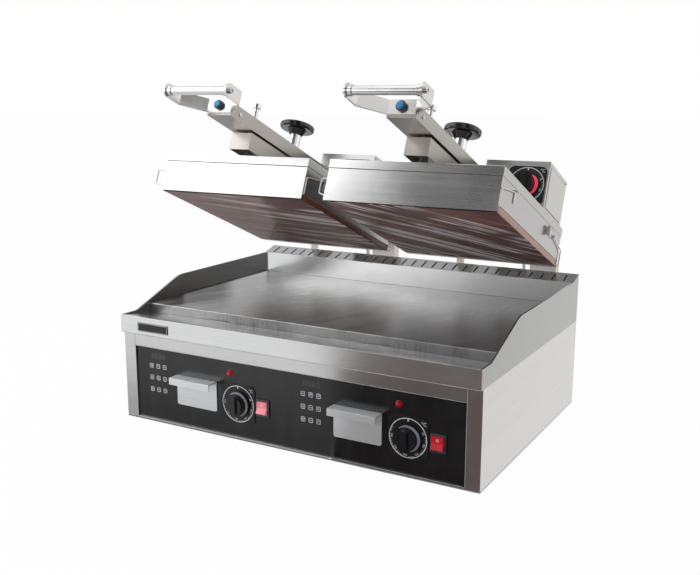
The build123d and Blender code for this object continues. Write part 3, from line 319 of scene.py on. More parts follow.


# Painted shade and light: side and top below 1 darken sideways and upward faces, and above 1 they
# lighten them.
cabinet_steel = brushed("cabinet_steel", 0.69, 0.2, 0.0, side=0.86)
tray_steel = brushed("tray_steel", 0.69, 0.22, -0.005, side=0.52, top=0.5)
lid_steel = brushed("lid_steel", 0.6, 0.2, 0.0, turn=OPEN, side=0.7, top=0.76)
# Painted shade and light: the left lid's housing and cap get this copy of the lid steel, toned apart
# from the right lid's.
lid_steel_left_shaded = brushed("lid_steel_left_shaded", 0.5, 0.24, 0.0, turn=OPEN, side=0.84, top=0.9)
box_steel = brushed("box_steel", 0.47, 0.32, 0.02, turn=OPEN, side=1.12, top=2.0)
arm_steel = brushed("arm_steel", 0.36, 0.3, 0.06, turn=OPEN, lines="y")
clip_steel = brushed("clip_steel", 0.6, 0.34, 0.01, turn=OPEN, metal=0.6)
tower_steel = brushed("tower_steel", 0.7, 0.4, 0.05, lines="z", metal=0.5)
head_steel = brushed("head_steel", 0.64, 0.24, 0.01, turn=OPEN)
drawer_steel = brushed("drawer_steel", 0.7, 0.34, -0.015, top=1.4, metal=0.66)
frame_steel = brushed("frame_steel", 0.58, 0.2, 0.0, side=0.95)
print("brushed finishes", len(bpy.data.materials))

# %% [markdown]
# ## The griddle and the other bare metals
#
# The griddle plate is ground and then seasoned: heat and oil leave pale and dark clouds drawn
# out along the plate. Cast lid plates are dull and grainy, heater tubes are oxidised, wire and
# posts are polished, and zinc-coated pans show faint crystals. Each is a few patterns deep.

# %% Griddle plate
def griddle_finish():
    """Dark satin steel: soft clouds, long wiping streaks that run back and lean to the right,
    fine grain from the grinder, a straw tint where it was hottest, a right half darkened as
    painted shade, and a darker tone on faces that don't look up, painted shade on the plate's cut
    edges."""
    plate = Finish("griddle_steel", metallic=1.0)
    cloud = plate.noise(plate.stretch(3.2, 7.0, 3.0), 1.0, 4.0, 0.55, warp=0.4)
    across = plate.part(plate.place, "X") - plate.part(plate.place, "Y") * 0.42
    along = plate.part(plate.place, "Y") * 2.2
    fan = plate.node("ShaderNodeCombineXYZ", {0: across * 34.0, 1: along})
    streak = plate.noise(fan, 1.0, 3.0, 0.55, warp=0.2)
    grain = plate.noise(plate.stretch(900.0, 40.0, 60.0), 1.0, 2.0)
    pale = (cloud * 0.5 + streak * 0.5).ramp(0.4, 0.64)
    tone = (pale * 0.85 + (grain - 0.5) * 0.3).ramp(-0.15, 1.0)
    cool = plate.blend(tone, (0.17, 0.168, 0.167, 1), (0.42, 0.418, 0.415, 1))
    straw = plate.noise(plate.place, 4.0, 2.0).ramp(0.5, 0.66) * 0.5
    warm = plate.blend(straw, cool, plate.tint(cool, (0.92, 0.84, 0.78, 1)))
    # Painted shade: the right half of the plate is darkened to 0.6 of its tone.
    used = plate.part(plate.place, "X").ramp(0.0, 0.24)
    warm = plate.blend(used, warm, plate.tint(warm, (0.6, 0.6, 0.62, 1)))
    # Painted shade: faces that don't look up, the plate's cut edges, take a darker tone.
    facing = plate.node("ShaderNodeTexCoord", out="Normal")
    edge = (cloud * 0.6 + grain * 0.4).ramp(0.42, 0.56)
    cut = plate.blend(edge, (0.14, 0.14, 0.14, 1), (0.3, 0.3, 0.3, 1))
    plate.feed(
        Base_Color=plate.blend(plate.part(facing, "Z") > 0.6, cut, warm),
        Roughness=0.28 + pale * 0.12 + (grain - 0.5) * 0.08,
    )
    plate.relief(grain, 0.00003, 0.2, 0.0008)
    return plate.material


griddle_steel = griddle_finish()

# %% Plain, polished and cast metals
def polished(name, level, rough, warm=0.0):
    """Smooth metal with faint turning marks and a few dull finger smears."""
    metal = Finish(name, metallic=1.0)
    rings = metal.noise(metal.stretch(700.0, 700.0, 60.0, OPEN), 1.0, 2.0)
    smear = metal.noise(metal.place, 45.0, 3.0)
    metal.feed(
        Base_Color=metal.blend(smear.ramp(0.3, 0.7), grey(level * 0.9, warm), grey(level, warm)),
        Roughness=rough + (smear - 0.5) * 0.1 + (rings - 0.5) * 0.04,
    )
    metal.relief(rings, 0.00001, 0.06, 0.0004)
    return metal.material


def cast(name, dark, pale, rough, metallic=1.0):
    """Dull grainy metal: two tones over a coarse noise, and a pitted skin."""
    metal = Finish(name, metallic=metallic)
    grain = metal.noise(metal.place, 420.0, 3.0)
    patch = metal.noise(metal.place, 22.0, 4.0)
    metal.feed(
        Base_Color=metal.blend((patch * 0.7 + grain * 0.3).ramp(0.35, 0.65), dark, pale),
        Roughness=rough + (grain - 0.5) * 0.2,
    )
    metal.relief(grain, 0.00015, 0.5, 0.0005)
    return metal.material


bright_steel = polished("bright_steel", 0.64, 0.24)
bolt_steel = polished("bolt_steel", 0.62, 0.2)
wire_steel = polished("wire_steel", 0.7, 0.16, 0.02)
cast_plate = cast("cast_plate", (0.1, 0.1, 0.1, 1), (0.19, 0.185, 0.18, 1), 0.55)
heater_steel = cast("heater_steel", (0.07, 0.06, 0.055, 1), (0.16, 0.12, 0.1, 1), 0.6, 0.6)
pan_steel = cast("pan_steel", (0.34, 0.35, 0.36, 1), (0.5, 0.5, 0.5, 1), 0.38)
print("bare metals ready")

# %% [markdown]
# ## Black glass, moulded plastic and small colours
#
# The control panel is a black glass front: deep, clean and glossy, with only a trace of
# dust and wiping marks in its shine. Knobs and bezels are moulded: a fine pebble and a softer
# shine that worn edges lose. Lamps and rockers are clear red plastic with light inside.

# %% Glass and plastic
def moulded(name, colour, rough, coat=0.0, pebble=0.0002, glow=0.0, grain=900.0, shine=0.5):
    """Plastic: a fine pebbled skin, slow changes of shine, a little colour drift, and for
    lamps a light of their own that is strongest in the middle of the drift."""
    plastic = Finish(name, Coat_Weight=coat, Coat_Roughness=0.04, Specular_IOR_Level=shine)
    skin = plastic.noise(plastic.place, grain, 2.0)
    wipe = plastic.noise(plastic.stretch(30.0, 30.0, 11.0), 1.0, 4.0, 0.6, warp=0.4)
    lift = tuple(min(1.0, part * 1.35 + 0.004) for part in colour[:3]) + (1.0,)
    shade = plastic.blend(wipe.ramp(0.35, 0.65), colour, lift)
    plastic.feed(Base_Color=shade, Roughness=rough + (wipe - 0.5) * 0.18 + (skin - 0.5) * 0.06)
    plastic.relief(skin, pebble, 0.3, 0.0004)
    if glow:
        plastic.feed(Emission_Color=shade, Emission_Strength=glow)
    return plastic.material


black_glass = moulded("black_glass", (0.004, 0.004, 0.0045, 1), 0.22, pebble=0.00001, grain=240.0)
dial_black = moulded("dial_black", (0.008, 0.008, 0.009, 1), 0.3, shine=0.35)
knob_black = moulded("knob_black", (0.008, 0.008, 0.009, 1), 0.2, coat=0.15, shine=0.35)
frame_black = moulded("frame_black", (0.028, 0.028, 0.03, 1), 0.42)
wheel_black = moulded("wheel_black", (0.005, 0.005, 0.006, 1), 0.1, pebble=0.00008, shine=0.45)
gland_black = moulded("gland_black", (0.02, 0.02, 0.02, 1), 0.5)
lamp_red = moulded("lamp_red", (0.3, 0.002, 0.006, 1), 0.1, pebble=0.00002, glow=0.08, shine=0.3)
rocker_red = moulded("rocker_red", (0.34, 0.003, 0.01, 1), 0.16, pebble=0.00003, glow=0.2, shine=0.3)
# Painted highlight: the left rocker gets this paler, more strongly glowing copy of the red rocker
# plastic.
rocker_painted_highlight = moulded("rocker_painted_highlight", (0.6, 0.16, 0.2, 1), 0.2, pebble=0.00003, glow=0.25, shine=0.4)
# Painted light: the red crescent on the lid knobs glows, though it has no lamp.
dial_red = moulded("dial_red", (0.75, 0.05, 0.09, 1), 0.3, pebble=0.00003, glow=0.2, shine=0.3)
button_blue = moulded("button_blue", (0.012, 0.2, 0.42, 1), 0.3, coat=0.3)
print("plastics ready")

# %% [markdown]
# ## Finishes for the imported nodes
#
# The imported model already has the right shapes, so each node only needs its finish. The record
# names a material slot for every part; one table gives the finish of each slot, and a second
# short table names the few nodes that take another finish: some sheets brushed another way, and
# the left lid and left rocker, whose copies carry painted shade and light and a painted highlight.

# %% Dress the imported nodes
BY_SLOT = {
    "stainless": cabinet_steel,
    "pan_steel": pan_steel,
    "griddle_steel": griddle_steel,
    "heater_steel": heater_steel,
    "black_glass": black_glass,
    "dial_black": dial_black,
    "lamp_red": lamp_red,
    "frame_black": frame_black,
    "gland_black": gland_black,
    "tower_steel": tower_steel,
    "fastener_steel": bolt_steel,
    "drawer_steel": drawer_steel,
    "knob_black": knob_black,
    "rocker_red": rocker_red,
    "arm_steel": arm_steel,
    "polished_steel": bright_steel,
    "button_blue": button_blue,
    "wheel_black": wheel_black,
    "lid_steel": lid_steel,
    "cast_plate": cast_plate,
    "wire_steel": wire_steel,
    "badge_metal": dial_black,
    "release_brown": frame_black,
}
BY_NODE = {
    "front_frame": frame_steel,
    "top_tray": tray_steel,
    "control_box_left": box_steel,
    "lid_housing_left": lid_steel_left_shaded,
    "lid_cap_left": lid_steel_left_shaded,
    "control_box_right": box_steel,
    "rocker_left": rocker_painted_highlight,
    "handle_head_left": head_steel,
    "handle_head_right": head_steel,
    "sheet_clips_left": clip_steel,
    "sheet_clips_right": clip_steel,
}
slot_of = {row["node"]: row["material_slot"] for row in frame["record"]["subparts"]}
for name, node in frame["nodes"].items():
    finish = BY_NODE.get(name) or BY_SLOT[slot_of[name]]
    for place in node.material_slots:
        place.material = finish
print("dressed", len(frame["nodes"]), "nodes")

# %% [markdown]
# ## From numbers to a mesh
#
# Every new piece is a surface worked out with numpy. A grid of points with R rows and C
# columns is closed into a tube or ring by joining its last row or column to its first. The
# faces are index arithmetic on whole arrays, so no loop walks over points.

# %% Grids into meshes
def grid_faces(rows, columns, ring_rows=False, ring_columns=False):
    """Four-cornered faces between neighbours of a grid: point (r, c) is number r * columns + c,
    and a ring joins the last row or column back to the first."""
    r, c = np.meshgrid(
        np.arange(rows if ring_rows else rows - 1),
        np.arange(columns if ring_columns else columns - 1),
        indexing="ij",
    )
    below, beside = (r + 1) % rows, (c + 1) % columns
    corners = [r * columns + c, r * columns + beside, below * columns + beside, below * columns + c]
    return np.stack(corners, -1).reshape(-1, 4)


def build(name, shells, material, body, smooth=True):
    """One mesh from several shells, each a pair of points (n, 3) and a list of faces. Normals
    are turned outwards, and the piece takes its finish and rides on its body."""
    points, faces, count = [], [], 0
    for shell_points, shell_faces in shells:
        points.append(np.asarray(shell_points).reshape(-1, 3))
        faces += [(np.asarray(face) + count).tolist() for face in shell_faces]
        count += len(points[-1])
    mesh = bpy.data.meshes.new(name)
    mesh.from_pydata(np.concatenate(points).tolist(), [], faces)
    mesh.polygons.foreach_set("use_smooth", np.full(len(mesh.polygons), smooth))
    outward(mesh)
    mesh.materials.append(material)
    piece = bpy.data.objects.new(name, mesh)
    bpy.context.scene.collection.objects.link(piece)
    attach(piece, body)
    return piece


def outward(mesh):
    """Merges points that coincide and turns every closed shell's faces outwards."""
    import bmesh

    work = bmesh.new()
    work.from_mesh(mesh)
    bmesh.ops.remove_doubles(work, verts=work.verts, dist=1e-7)
    bmesh.ops.recalc_face_normals(work, faces=work.faces)
    work.to_mesh(mesh)
    work.free()


print("a 3 by 4 grid has", len(grid_faces(3, 4)), "faces")

# %% [markdown]
# ## Printed marks
#
# Panel marks are ink: flat shapes a few hundredths of a millimetre thick. Each is a line with
# a width, so a mark is a small rectangle carried along a path on its face. A closed path makes
# a ring, and an open path gets two end caps.

# %% A printed line on a face
def face_at(origin, across, upward):
    """A flat place to print on: its origin in metres, and its two directions."""
    across, upward = np.asarray(across, float), np.asarray(upward, float)
    return np.asarray(origin, float), across, upward, np.cross(across, upward)


def stroke(face, path, width, closed=False, thick=0.05):
    """A line of ink, in mm: each point of the path moves half the width to both sides along
    the path's own normal, at the face and at the ink's height above it."""
    origin, across, upward, out = face
    path = np.asarray(path, float)
    if closed:
        run = np.roll(path, -1, 0) - np.roll(path, 1, 0)
    else:
        run = np.gradient(path, axis=0)
    run = run / np.linalg.norm(run, axis=1, keepdims=True)
    side = np.stack([-run[:, 1], run[:, 0]], 1) * np.asarray(width)[..., None] / 2
    flat = np.stack([path + side, path - side, path - side, path + side], 1)
    height = np.array([0.02, 0.02, 0.02 + thick, 0.02 + thick])[None, :, None]
    points = origin + (flat[..., :1] * across + flat[..., 1:] * upward + height * out) * MM
    faces = grid_faces(len(path), 4, closed, True).tolist()
    if not closed:
        last = 4 * (len(path) - 1)
        faces += [[0, 1, 2, 3], [last, last + 1, last + 2, last + 3]]
    return points, faces


def arc(radius, start, end, count=60):
    """Points on a circle about the face's origin, by angle in degrees from the right."""
    angle = np.radians(np.linspace(start, end, count))
    return np.stack([np.cos(angle), np.sin(angle)], 1) * radius


def rounded(half, power=5.0, count=28):
    """A square with soft corners: a circle whose sine and cosine are raised to 2 / power."""
    angle = np.linspace(0, 2 * np.pi, count, endpoint=False)
    wave = np.stack([np.cos(angle), np.sin(angle)], 1)
    return np.sign(wave) * np.abs(wave) ** (2 / power) * half


# %% Icons and the ghost of the display
PANEL_Y = -0.239
GROUP = {"left": -162.5, "right": 162.5}
ICONS = {
    "wave": [(-2.2, -1.6), (-0.8, 1.6), (0.8, -1.6), (2.2, 1.6)],
    "bar": [(-2.2, 0.0), (0.0, 0.0), (2.2, 0.0)],
    "rise": [(-2.0, -1.2), (0.0, 1.5), (2.0, -1.2)],
    "fall": [(-2.0, 1.2), (0.0, -1.5), (2.0, 1.2)],
    "frame": [(-1.6, -1.4), (-1.6, 1.4), (1.6, 1.4), (1.6, -1.4)],
}
LAYOUT = [
    ["wave", "frame", "wave"],
    ["fall", "bar", "rise"],
    ["wave", "bar", "frame"],
]
SEGMENTS = np.array(
    [
        [(-1, 2), (1, 2)],
        [(-1, 0), (1, 0)],
        [(-1, -2), (1, -2)],
        [(-1.25, 1.8), (-1.25, 0.2)],
        [(1.25, 1.8), (1.25, 0.2)],
        [(-1.25, -0.2), (-1.25, -1.8)],
        [(1.25, -0.2), (1.25, -1.8)],
    ]
)
ink_white = moulded("ink_white", (0.62, 0.62, 0.6, 1), 0.45)
ink_ghost = moulded("ink_ghost", (0.075, 0.062, 0.04, 1), 0.35)
for side in SIDES:
    shells = []
    for row, names in enumerate(LAYOUT):
        for column, icon in enumerate(names):
            x = GROUP[side] - 128.0 + 15.0 * column
            z = 105.2 - 22.1 * row
            face = face_at((x * MM, PANEL_Y, z * MM), (1, 0, 0), (0, 0, 1))
            shells.append(stroke(face, rounded(3.7), 0.85, closed=True))
            shells.append(stroke(face, ICONS[icon], 1.0))
    build(f"panel_icons_{side}", shells, ink_white, "base", smooth=False)
    shells = []
    for digit in range(4):
        x = GROUP[side] - 124.5 + 8.6 * digit
        face = face_at((x * MM, PANEL_Y, 124.2 * MM), (1, 0, 0), (0, 0, 1))
        for segment in SEGMENTS * 2.0:
            shells.append(stroke(face, segment, 1.1))
    build(f"display_segments_{side}", shells, ink_ghost, "base", smooth=False)
print("nine icons and four digits on each side")

# %% [markdown]
# ## Dial scales
#
# A regulator's plate carries a thin ring, a mark at the top where it is off, and temperatures
# that run down from the right and round to the left. Numbers are set in Blender's own plain
# face, turned to stand on the ring, and made a mesh before they are put in place.

# %% Numbers on a face
def lettering(text, size, face, place, turn):
    """Shells of a short text on a face, in mm: the text curve is made a mesh, its points are
    turned about their middle, moved to their place and laid on the face."""
    curve = bpy.data.curves.new("lettering", "FONT")
    curve.body, curve.size = text, size
    curve.align_x, curve.align_y = "CENTER", "CENTER"
    curve.extrude = 0.03
    curve.resolution_u = 3
    holder = bpy.data.objects.new("lettering", curve)
    bpy.context.scene.collection.objects.link(holder)
    bpy.context.view_layer.update()
    mesh = bpy.data.meshes.new_from_object(
        holder.evaluated_get(bpy.context.evaluated_depsgraph_get())
    )
    flat = np.empty(len(mesh.vertices) * 3)
    mesh.vertices.foreach_get("co", flat)
    flat = flat.reshape(-1, 3)
    faces = [list(polygon.vertices) for polygon in mesh.polygons]
    bpy.data.objects.remove(holder)
    bpy.data.curves.remove(curve)
    bpy.data.meshes.remove(mesh)
    cosine, sine = math.cos(turn), math.sin(turn)
    x = flat[:, 0] * cosine - flat[:, 1] * sine + place[0]
    y = flat[:, 0] * sine + flat[:, 1] * cosine + place[1]
    origin, across, upward, out = face
    points = x[:, None] * across + y[:, None] * upward + (flat[:, 2:] + 0.06) * out
    return origin + points * MM, faces


def scale_marks(face):
    """Ring, top mark, numbers and ticks of one dial, and the unit at its upper right."""
    shells = [stroke(face, arc(32.2, 0, 360, 96)[:-1], 1.2, closed=True)]
    shells.append(stroke(face, [(0, 32.0), (0, 27.4)], 1.8))
    for count, number in enumerate((50, 100, 150, 200, 250, 300)):
        angle = math.radians(24 - 41.0 * count)
        place = (28.4 * math.cos(angle), 28.4 * math.sin(angle))
        shells.append(lettering(str(number), 4.9, face, place, angle + math.pi / 2))
        for step in (0.33, 0.5, 0.66):
            tick = math.radians(24 - 41.0 * (count + step))
            ray = np.array([math.cos(tick), math.sin(tick)])
            shells.append(stroke(face, [ray * 29.4, ray * 31.9], 0.8))
    shells.append(lettering("°C", 8.2, face, (27.0, 27.0), 0.0))
    return shells


DIAL_THICK = 1.6
for side in SIDES:
    spot = ((GROUP[side] + 65.5) * MM, PANEL_Y - DIAL_THICK * MM, 64.8 * MM)
    face = face_at(spot, (1, 0, 0), (0, 0, 1))
    build(f"dial_scale_{side}", scale_marks(face), ink_white, "base", smooth=False)
    spot = on_lid(CENTRE[side] + 109.5, 237.0 - DIAL_THICK, 72.0 + 45.0)
    face = face_at(spot, ACROSS, UP)
    build(f"lid_scale_{side}", scale_marks(face), ink_white, f"lid_{side}", smooth=False)
print("dial scales ready")

# %% [markdown]
# ## Small marks that the eye looks for
#
# A few thin shapes carry much of the likeness: the pale shine on the knobs' skirts, the red
# crescent of the lids' knobs, the rockers' marks, painted highlights along the folds where sheets
# meet, the outline of the access plates and the badge's rim.


# %% Crescents, rims and folds
def crescent(face, radius, start, end, thickness):
    """A sickle: an arc whose width swells as a half sine from nothing to its thickness."""
    path = arc(radius, start, end, 48)
    swell = np.sin(np.linspace(0, np.pi, 48)) ** 0.6
    return stroke(face, path, thickness * swell + 0.05)


def plate_rim(half_x, half_y, cut=0.8):
    """An oblong with small cut corners, so that a stroke keeps its width on every side."""
    quarter = np.array([(half_x, half_y - cut), (half_x - cut, half_y)])
    half = np.concatenate([quarter, quarter[::-1] * (-1, 1)])
    return np.concatenate([half, -half])


skirt_shine = moulded("skirt_shine", (0.2, 0.21, 0.25, 1), 0.25, pebble=0.00002)
# A grey for painted highlights on the folds, and the real grey of the badge's rim.
fold_highlight_and_rim_grey = moulded("fold_highlight_and_rim_grey", (0.34, 0.335, 0.33, 1), 0.4, pebble=0.00002)
outline_dark = moulded("outline_dark", (0.09, 0.085, 0.08, 1), 0.5, pebble=0.00002)
SKIRT_FRONT = DIAL_THICK + 0.6 + 3.5
for side in SIDES:
    spot = ((GROUP[side] + 65.5) * MM, PANEL_Y - SKIRT_FRONT * MM, 64.8 * MM)
    shape = crescent(face_at(spot, (1, 0, 0), (0, 0, 1)), 20.4, 135, -75, 5.0)
    build(f"knob_shine_{side}", [shape], skirt_shine, f"panel_knob_{side}", smooth=False)
    knob_face = face_at(on_lid(CENTRE[side] + 109.5, 237.0 - SKIRT_FRONT, 117.0), ACROSS, UP)
    shape = crescent(knob_face, 20.4, 62, -70, 6.4)
    build(f"knob_crescent_{side}", [shape], dial_red, f"lid_knob_{side}", smooth=False)
    x = GROUP[side] + 116.5
    upper = face_at((x * MM, -243.98 * MM, 71.3 * MM), (1, 0, 0), (0, 0, 1))
    lower = face_at((x * MM, -245.8 * MM, 60.9 * MM), (1, 0, 0), (0, 0.339, 0.941))
    marks = [stroke(upper, arc(1.9, 0, 360, 24)[:-1], 0.7, closed=True)]
    marks.append(stroke(lower, [(0, -1.8), (0, 1.8)], 0.8))
    build(f"rocker_marks_{side}", marks, ink_white, f"rocker_{side}", smooth=False)
    box_side = face_at(on_lid(CENTRE[side] + 147.5, 294.5, 117.0), BACK, UP)
    rim = stroke(box_side, plate_rim(49.4, 36.9), 1.0, closed=True)
    build(f"access_outline_{side}", [rim], outline_dark, f"lid_{side}", smooth=False)
    seam = stroke(face_at(on_lid(CENTRE[side], 0.0, 56.6), ACROSS, UP), [(-153, 0), (153, 0)], 0.9)
    build(f"cap_seam_{side}", [seam], outline_dark, f"lid_{side}", smooth=False)

# Painted highlights: pale lines along the folds of the lip, the rail, the posts and the sill.
lip_face = face_at((0, -0.250, 0), (1, 0, 0), (0, 0, 1))
front_face = face_at((0, -0.242, 0), (1, 0, 0), (0, 0, 1))
folds = [stroke(lip_face, [(-349, 164.1), (349, 164.1)], 0.9)]
folds.append(stroke(front_face, [(-324, 139.5), (324, 139.5)], 0.8))
folds += [stroke(front_face, [(x, 5.5), (x, 162.5)], 0.9) for x in (-325.3, 325.3)]
folds.append(stroke(front_face, [(-324, 4.6), (324, 4.6)], 0.8))
build("painted_fold_highlights", folds, fold_highlight_and_rim_grey, "base", smooth=False)
badge_face = face_at((-0.275, -0.2512, 0.1782), (1, 0, 0), (0, 0, 1))
rim = stroke(badge_face, plate_rim(33.2, 6.8), 1.0, closed=True)
build("badge_rim", [rim], fold_highlight_and_rim_grey, "base", smooth=False)

# %% A dark sheet under the rear slots, painted shade
# Painted shade: a dark sheet just below the slots stands where only shade is seen.
strip = np.array([(214.9, 241.6), (248.3, 251.4), (248.3, 250.9), (214.9, 241.1)])
ends = np.array([-345.0, 345.0])
across = np.broadcast_to(ends[:, None], (2, 4))
painted_shade_sheet = np.stack([across, *np.broadcast_to(strip.T[:, None], (2, 2, 4))], -1)
sides = grid_faces(2, 4, False, True).tolist() + [[0, 1, 2, 3], [4, 5, 6, 7]]
build("slot_painted_shade", [(painted_shade_sheet * MM, sides)], frame_black, "base", smooth=False)
print("small marks ready")

# %% [markdown]
# ## The release sheets
#
# A thin brown cloth, glass fibre coated so that nothing sticks to it, is stretched under each
# lid and folded up at both sides under a metal band. It is glossy and never quite flat: long
# shallow folds run from side to side and fan out a little, and with painted highlights on them
# they make the bright streaks on the underside. The folds are a sum of ridges whose lines lean and
# fade.

# %% Cloth finish
def cloth_finish():
    """Brown coated glass cloth: the weave as two crossed waves, a slow change of tone, pale streaks
    along the folds as painted highlights, and folded-up bands toned as painted shade on the left lid
    and painted light on the right."""
    cloth = Finish("release_cloth", Coat_Roughness=0.1, Specular_IOR_Level=0.12)
    cloth.feed(Coat_Weight=0.12 + cloth.part(cloth.place, "X").ramp(-0.3, 0.0) * 0.3)
    lid = cloth.stretch(1.0, 1.0, 1.0, OPEN)
    weave = cloth.noise(cloth.stretch(900.0, 60.0, 60.0, OPEN), 1.0, 1.0)
    weft = cloth.noise(cloth.stretch(60.0, 900.0, 60.0, OPEN), 1.0, 1.0)
    patch = cloth.noise(lid, 7.0, 4.0, 0.6, warp=0.5)
    cross = (weave + weft) * 0.5
    tone = (patch * 0.75 + cross * 0.25).ramp(0.35, 0.68)
    brown = cloth.blend(tone, (0.11, 0.042, 0.03, 1), (0.21, 0.092, 0.07, 1))
    lies = [
        cloth.node("ShaderNodeMapping", {"Vector": lid, "Rotation": (0, 0, angle)})
        for angle in (-0.2, -0.7)
    ]
    right = cloth.part(cloth.place, "X") > 0.0
    lean = cloth.node(
        "ShaderNodeMix", {0: right, 4: lies[0], 5: lies[1]}, out=1, data_type="VECTOR"
    )
    lean = cloth.node(
        "ShaderNodeVectorMath", {0: lean, 1: (3.0, 60.0, 60.0)}, operation="MULTIPLY"
    )
    # Painted highlight: pale, partly metallic streaks along the folds stand in for their shine.
    streak_pattern = cloth.noise(lean, 1.0, 5.0, 0.6, warp=0.7)
    where = cloth.noise(cloth.stretch(5.0, 7.0, 7.0, OPEN), 1.0, 2.0).ramp(0.37, 0.53)
    painted_streak_highlight = streak_pattern.ramp(0.48, 0.58) * where * cloth.part(cloth.place, "X").ramp(-0.34, 0.0)
    brown = cloth.blend(painted_streak_highlight, brown, (1.0, 0.9, 0.9, 1))
    facing = cloth.node("ShaderNodeTexCoord", out="Normal")
    band = abs(cloth.part(facing, "X")) > 0.5
    # Painted shade and light: the folded-up bands are dark brown on the left lid and pale pinkish
    # brown on the right lid.
    band_painted_shade_and_light = cloth.blend(
        right, (0.15, 0.058, 0.028, 1), (0.43, 0.245, 0.18, 1)
    )
    band_painted_shade_and_light = cloth.tint(band_painted_shade_and_light, cloth.blend(weft.ramp(0.3, 0.7), (0.8, 0.8, 0.8, 1), (1, 1, 1, 1)))
    cloth.feed(
        Base_Color=cloth.blend(band, brown, band_painted_shade_and_light),
        Metallic=painted_streak_highlight * 0.62,
        Roughness=0.5 + (patch - 0.5) * 0.2 + (cross - 0.5) * 0.12,
    )
    cloth.relief(cross, 0.00012, 0.4)
    return cloth.material


release_cloth = cloth_finish()


# %% Folded sheet
HALF = 153.2
SHEET_FRONT, SHEET_BACK = 5.2, 346.8
BAND_TOP = 10.5
FOLDS = [
    (70.0, 8.0, 0.10, 0.5),
    (112.0, 5.0, -0.06, 0.5),
    (150.0, 9.0, 0.16, 0.7),
    (176.0, 4.0, 0.02, 0.45),
    (205.0, 7.0, 0.22, 0.7),
    (238.0, 5.0, -0.04, 0.5),
    (262.0, 8.0, 0.12, 0.7),
    (296.0, 6.0, 0.05, 0.5),
    (322.0, 8.0, -0.08, 0.6),
]


def fold_height(x, s, seed):
    """The sheet's rise above its flat, in mm: each fold is a bell across its own line, which
    leans with x, fades along its length as a slow cosine, and is drawn out by a small swell
    that runs diagonally."""
    rise = 0.07 * np.sin(x / 23.0 + s / 31.0 + seed) * np.cos(s / 17.0 - x / 57.0)
    for number, (place, width, lean, depth) in enumerate(FOLDS):
        line = place + lean * x + 5.0 * np.sin(x / 61.0 + number * 1.7 + seed)
        along = 0.5 + 0.5 * np.cos(x / 90.0 + number * 2.1 + seed * 1.3)
        rise = rise + depth * along * np.exp(-(((s - line) / width) ** 2))
    return rise


def sheet_grid(centre, seed):
    """Rows run back along the lid. Columns run up the left band, across the underside and up
    the right band, with small round corners; the folds die out at the corners."""
    corner = np.radians(np.linspace(0, 90, 6))
    left_x = np.concatenate([np.zeros(4), 1.6 - 1.6 * np.cos(corner[::1])])
    left_h = np.concatenate([np.linspace(BAND_TOP, 2.2, 4), 0.9 - 1.6 * np.sin(corner)])
    middle = np.linspace(-HALF + 4.0, HALF - 4.0, 78)
    x = np.concatenate([left_x - HALF, middle, (HALF - left_x)[::-1]])
    h = np.concatenate([left_h, np.full(78, -0.7), left_h[::-1]])
    s = np.linspace(SHEET_FRONT, SHEET_BACK, 190)
    flat_x, flat_s = np.meshgrid(x, s)
    fade = np.clip((HALF - 3.0 - np.abs(flat_x)) / 22.0, 0, 1) ** 0.7
    rise = (fold_height(flat_x, flat_s, seed) - 0.25) * fade
    inset = 0.25 * np.sign(flat_x) * (1 - fade)
    return on_lid(centre + flat_x - inset, flat_s, h[None, :] + rise)


for number, side in enumerate(SIDES):
    points = sheet_grid(CENTRE[side], 2.4 * number)
    rows, columns = points.shape[:2]
    sheet = build(
        f"release_cloth_{side}",
        [(points, grid_faces(rows, columns).tolist())],
        release_cloth,
        f"lid_{side}",
    )
    solid = sheet.modifiers.new("cloth_thickness", "SOLIDIFY")
    solid.thickness = 0.25 * MM
    solid.offset = 0.0
    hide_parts(f"release_sheet_{side}")

# %% [markdown]
# ## Screws with real heads
#
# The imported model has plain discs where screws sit. A pan head is a profile turned about the
# screw's line: a flat seat, a round shoulder and a shallow dome, with a cross pressed into it.

# %% Pan heads
def turned(origin, axis, profile, count=24):
    """A shell of revolution: the profile's rows are radius and height in mm, and each point
    goes round the axis. A radius of nought closes the shell in a point."""
    axis = np.asarray(axis, float)
    first = np.cross(axis, [0.31, 0.17, 0.93])
    first = first / np.linalg.norm(first)
    second = np.cross(axis, first)
    angle = np.linspace(0, 2 * np.pi, count, endpoint=False)[None, :, None]
    radius, height = np.asarray(profile, float).T[:, :, None, None]
    points = radius * (np.cos(angle) * first + np.sin(angle) * second) + height * axis
    shape = (len(profile), count)
    return np.asarray(origin) + points * MM, grid_faces(*shape, False, True).tolist()


def pan_head(origin, axis, radius, rise):
    """A domed head: seat, shoulder, then a quarter ellipse to the top."""
    angle = np.radians(np.linspace(0, 90, 7))
    dome = np.stack([radius * np.cos(angle), rise * 0.35 + rise * 0.65 * np.sin(angle)], 1)
    dome[-1, 0] = 0.0
    return turned(origin, axis, np.concatenate([[(0.0, 0.0), (radius, 0.0)], dome]))


def cross_slot(origin, axis, along, size, height):
    """Two dark bars that lie in a screw's head as its driving cross, their darkness painted shade of
    the recess.
    """
    other = np.cross(axis, along)
    face = (np.asarray(origin) + np.asarray(axis) * (height - 0.04) * MM, along, other, axis)
    bar = np.array([(-size, 0.0), (size, 0.0)])
    return [stroke(face, path, size * 0.42, thick=0.06) for path in (bar, bar[:, ::-1])]


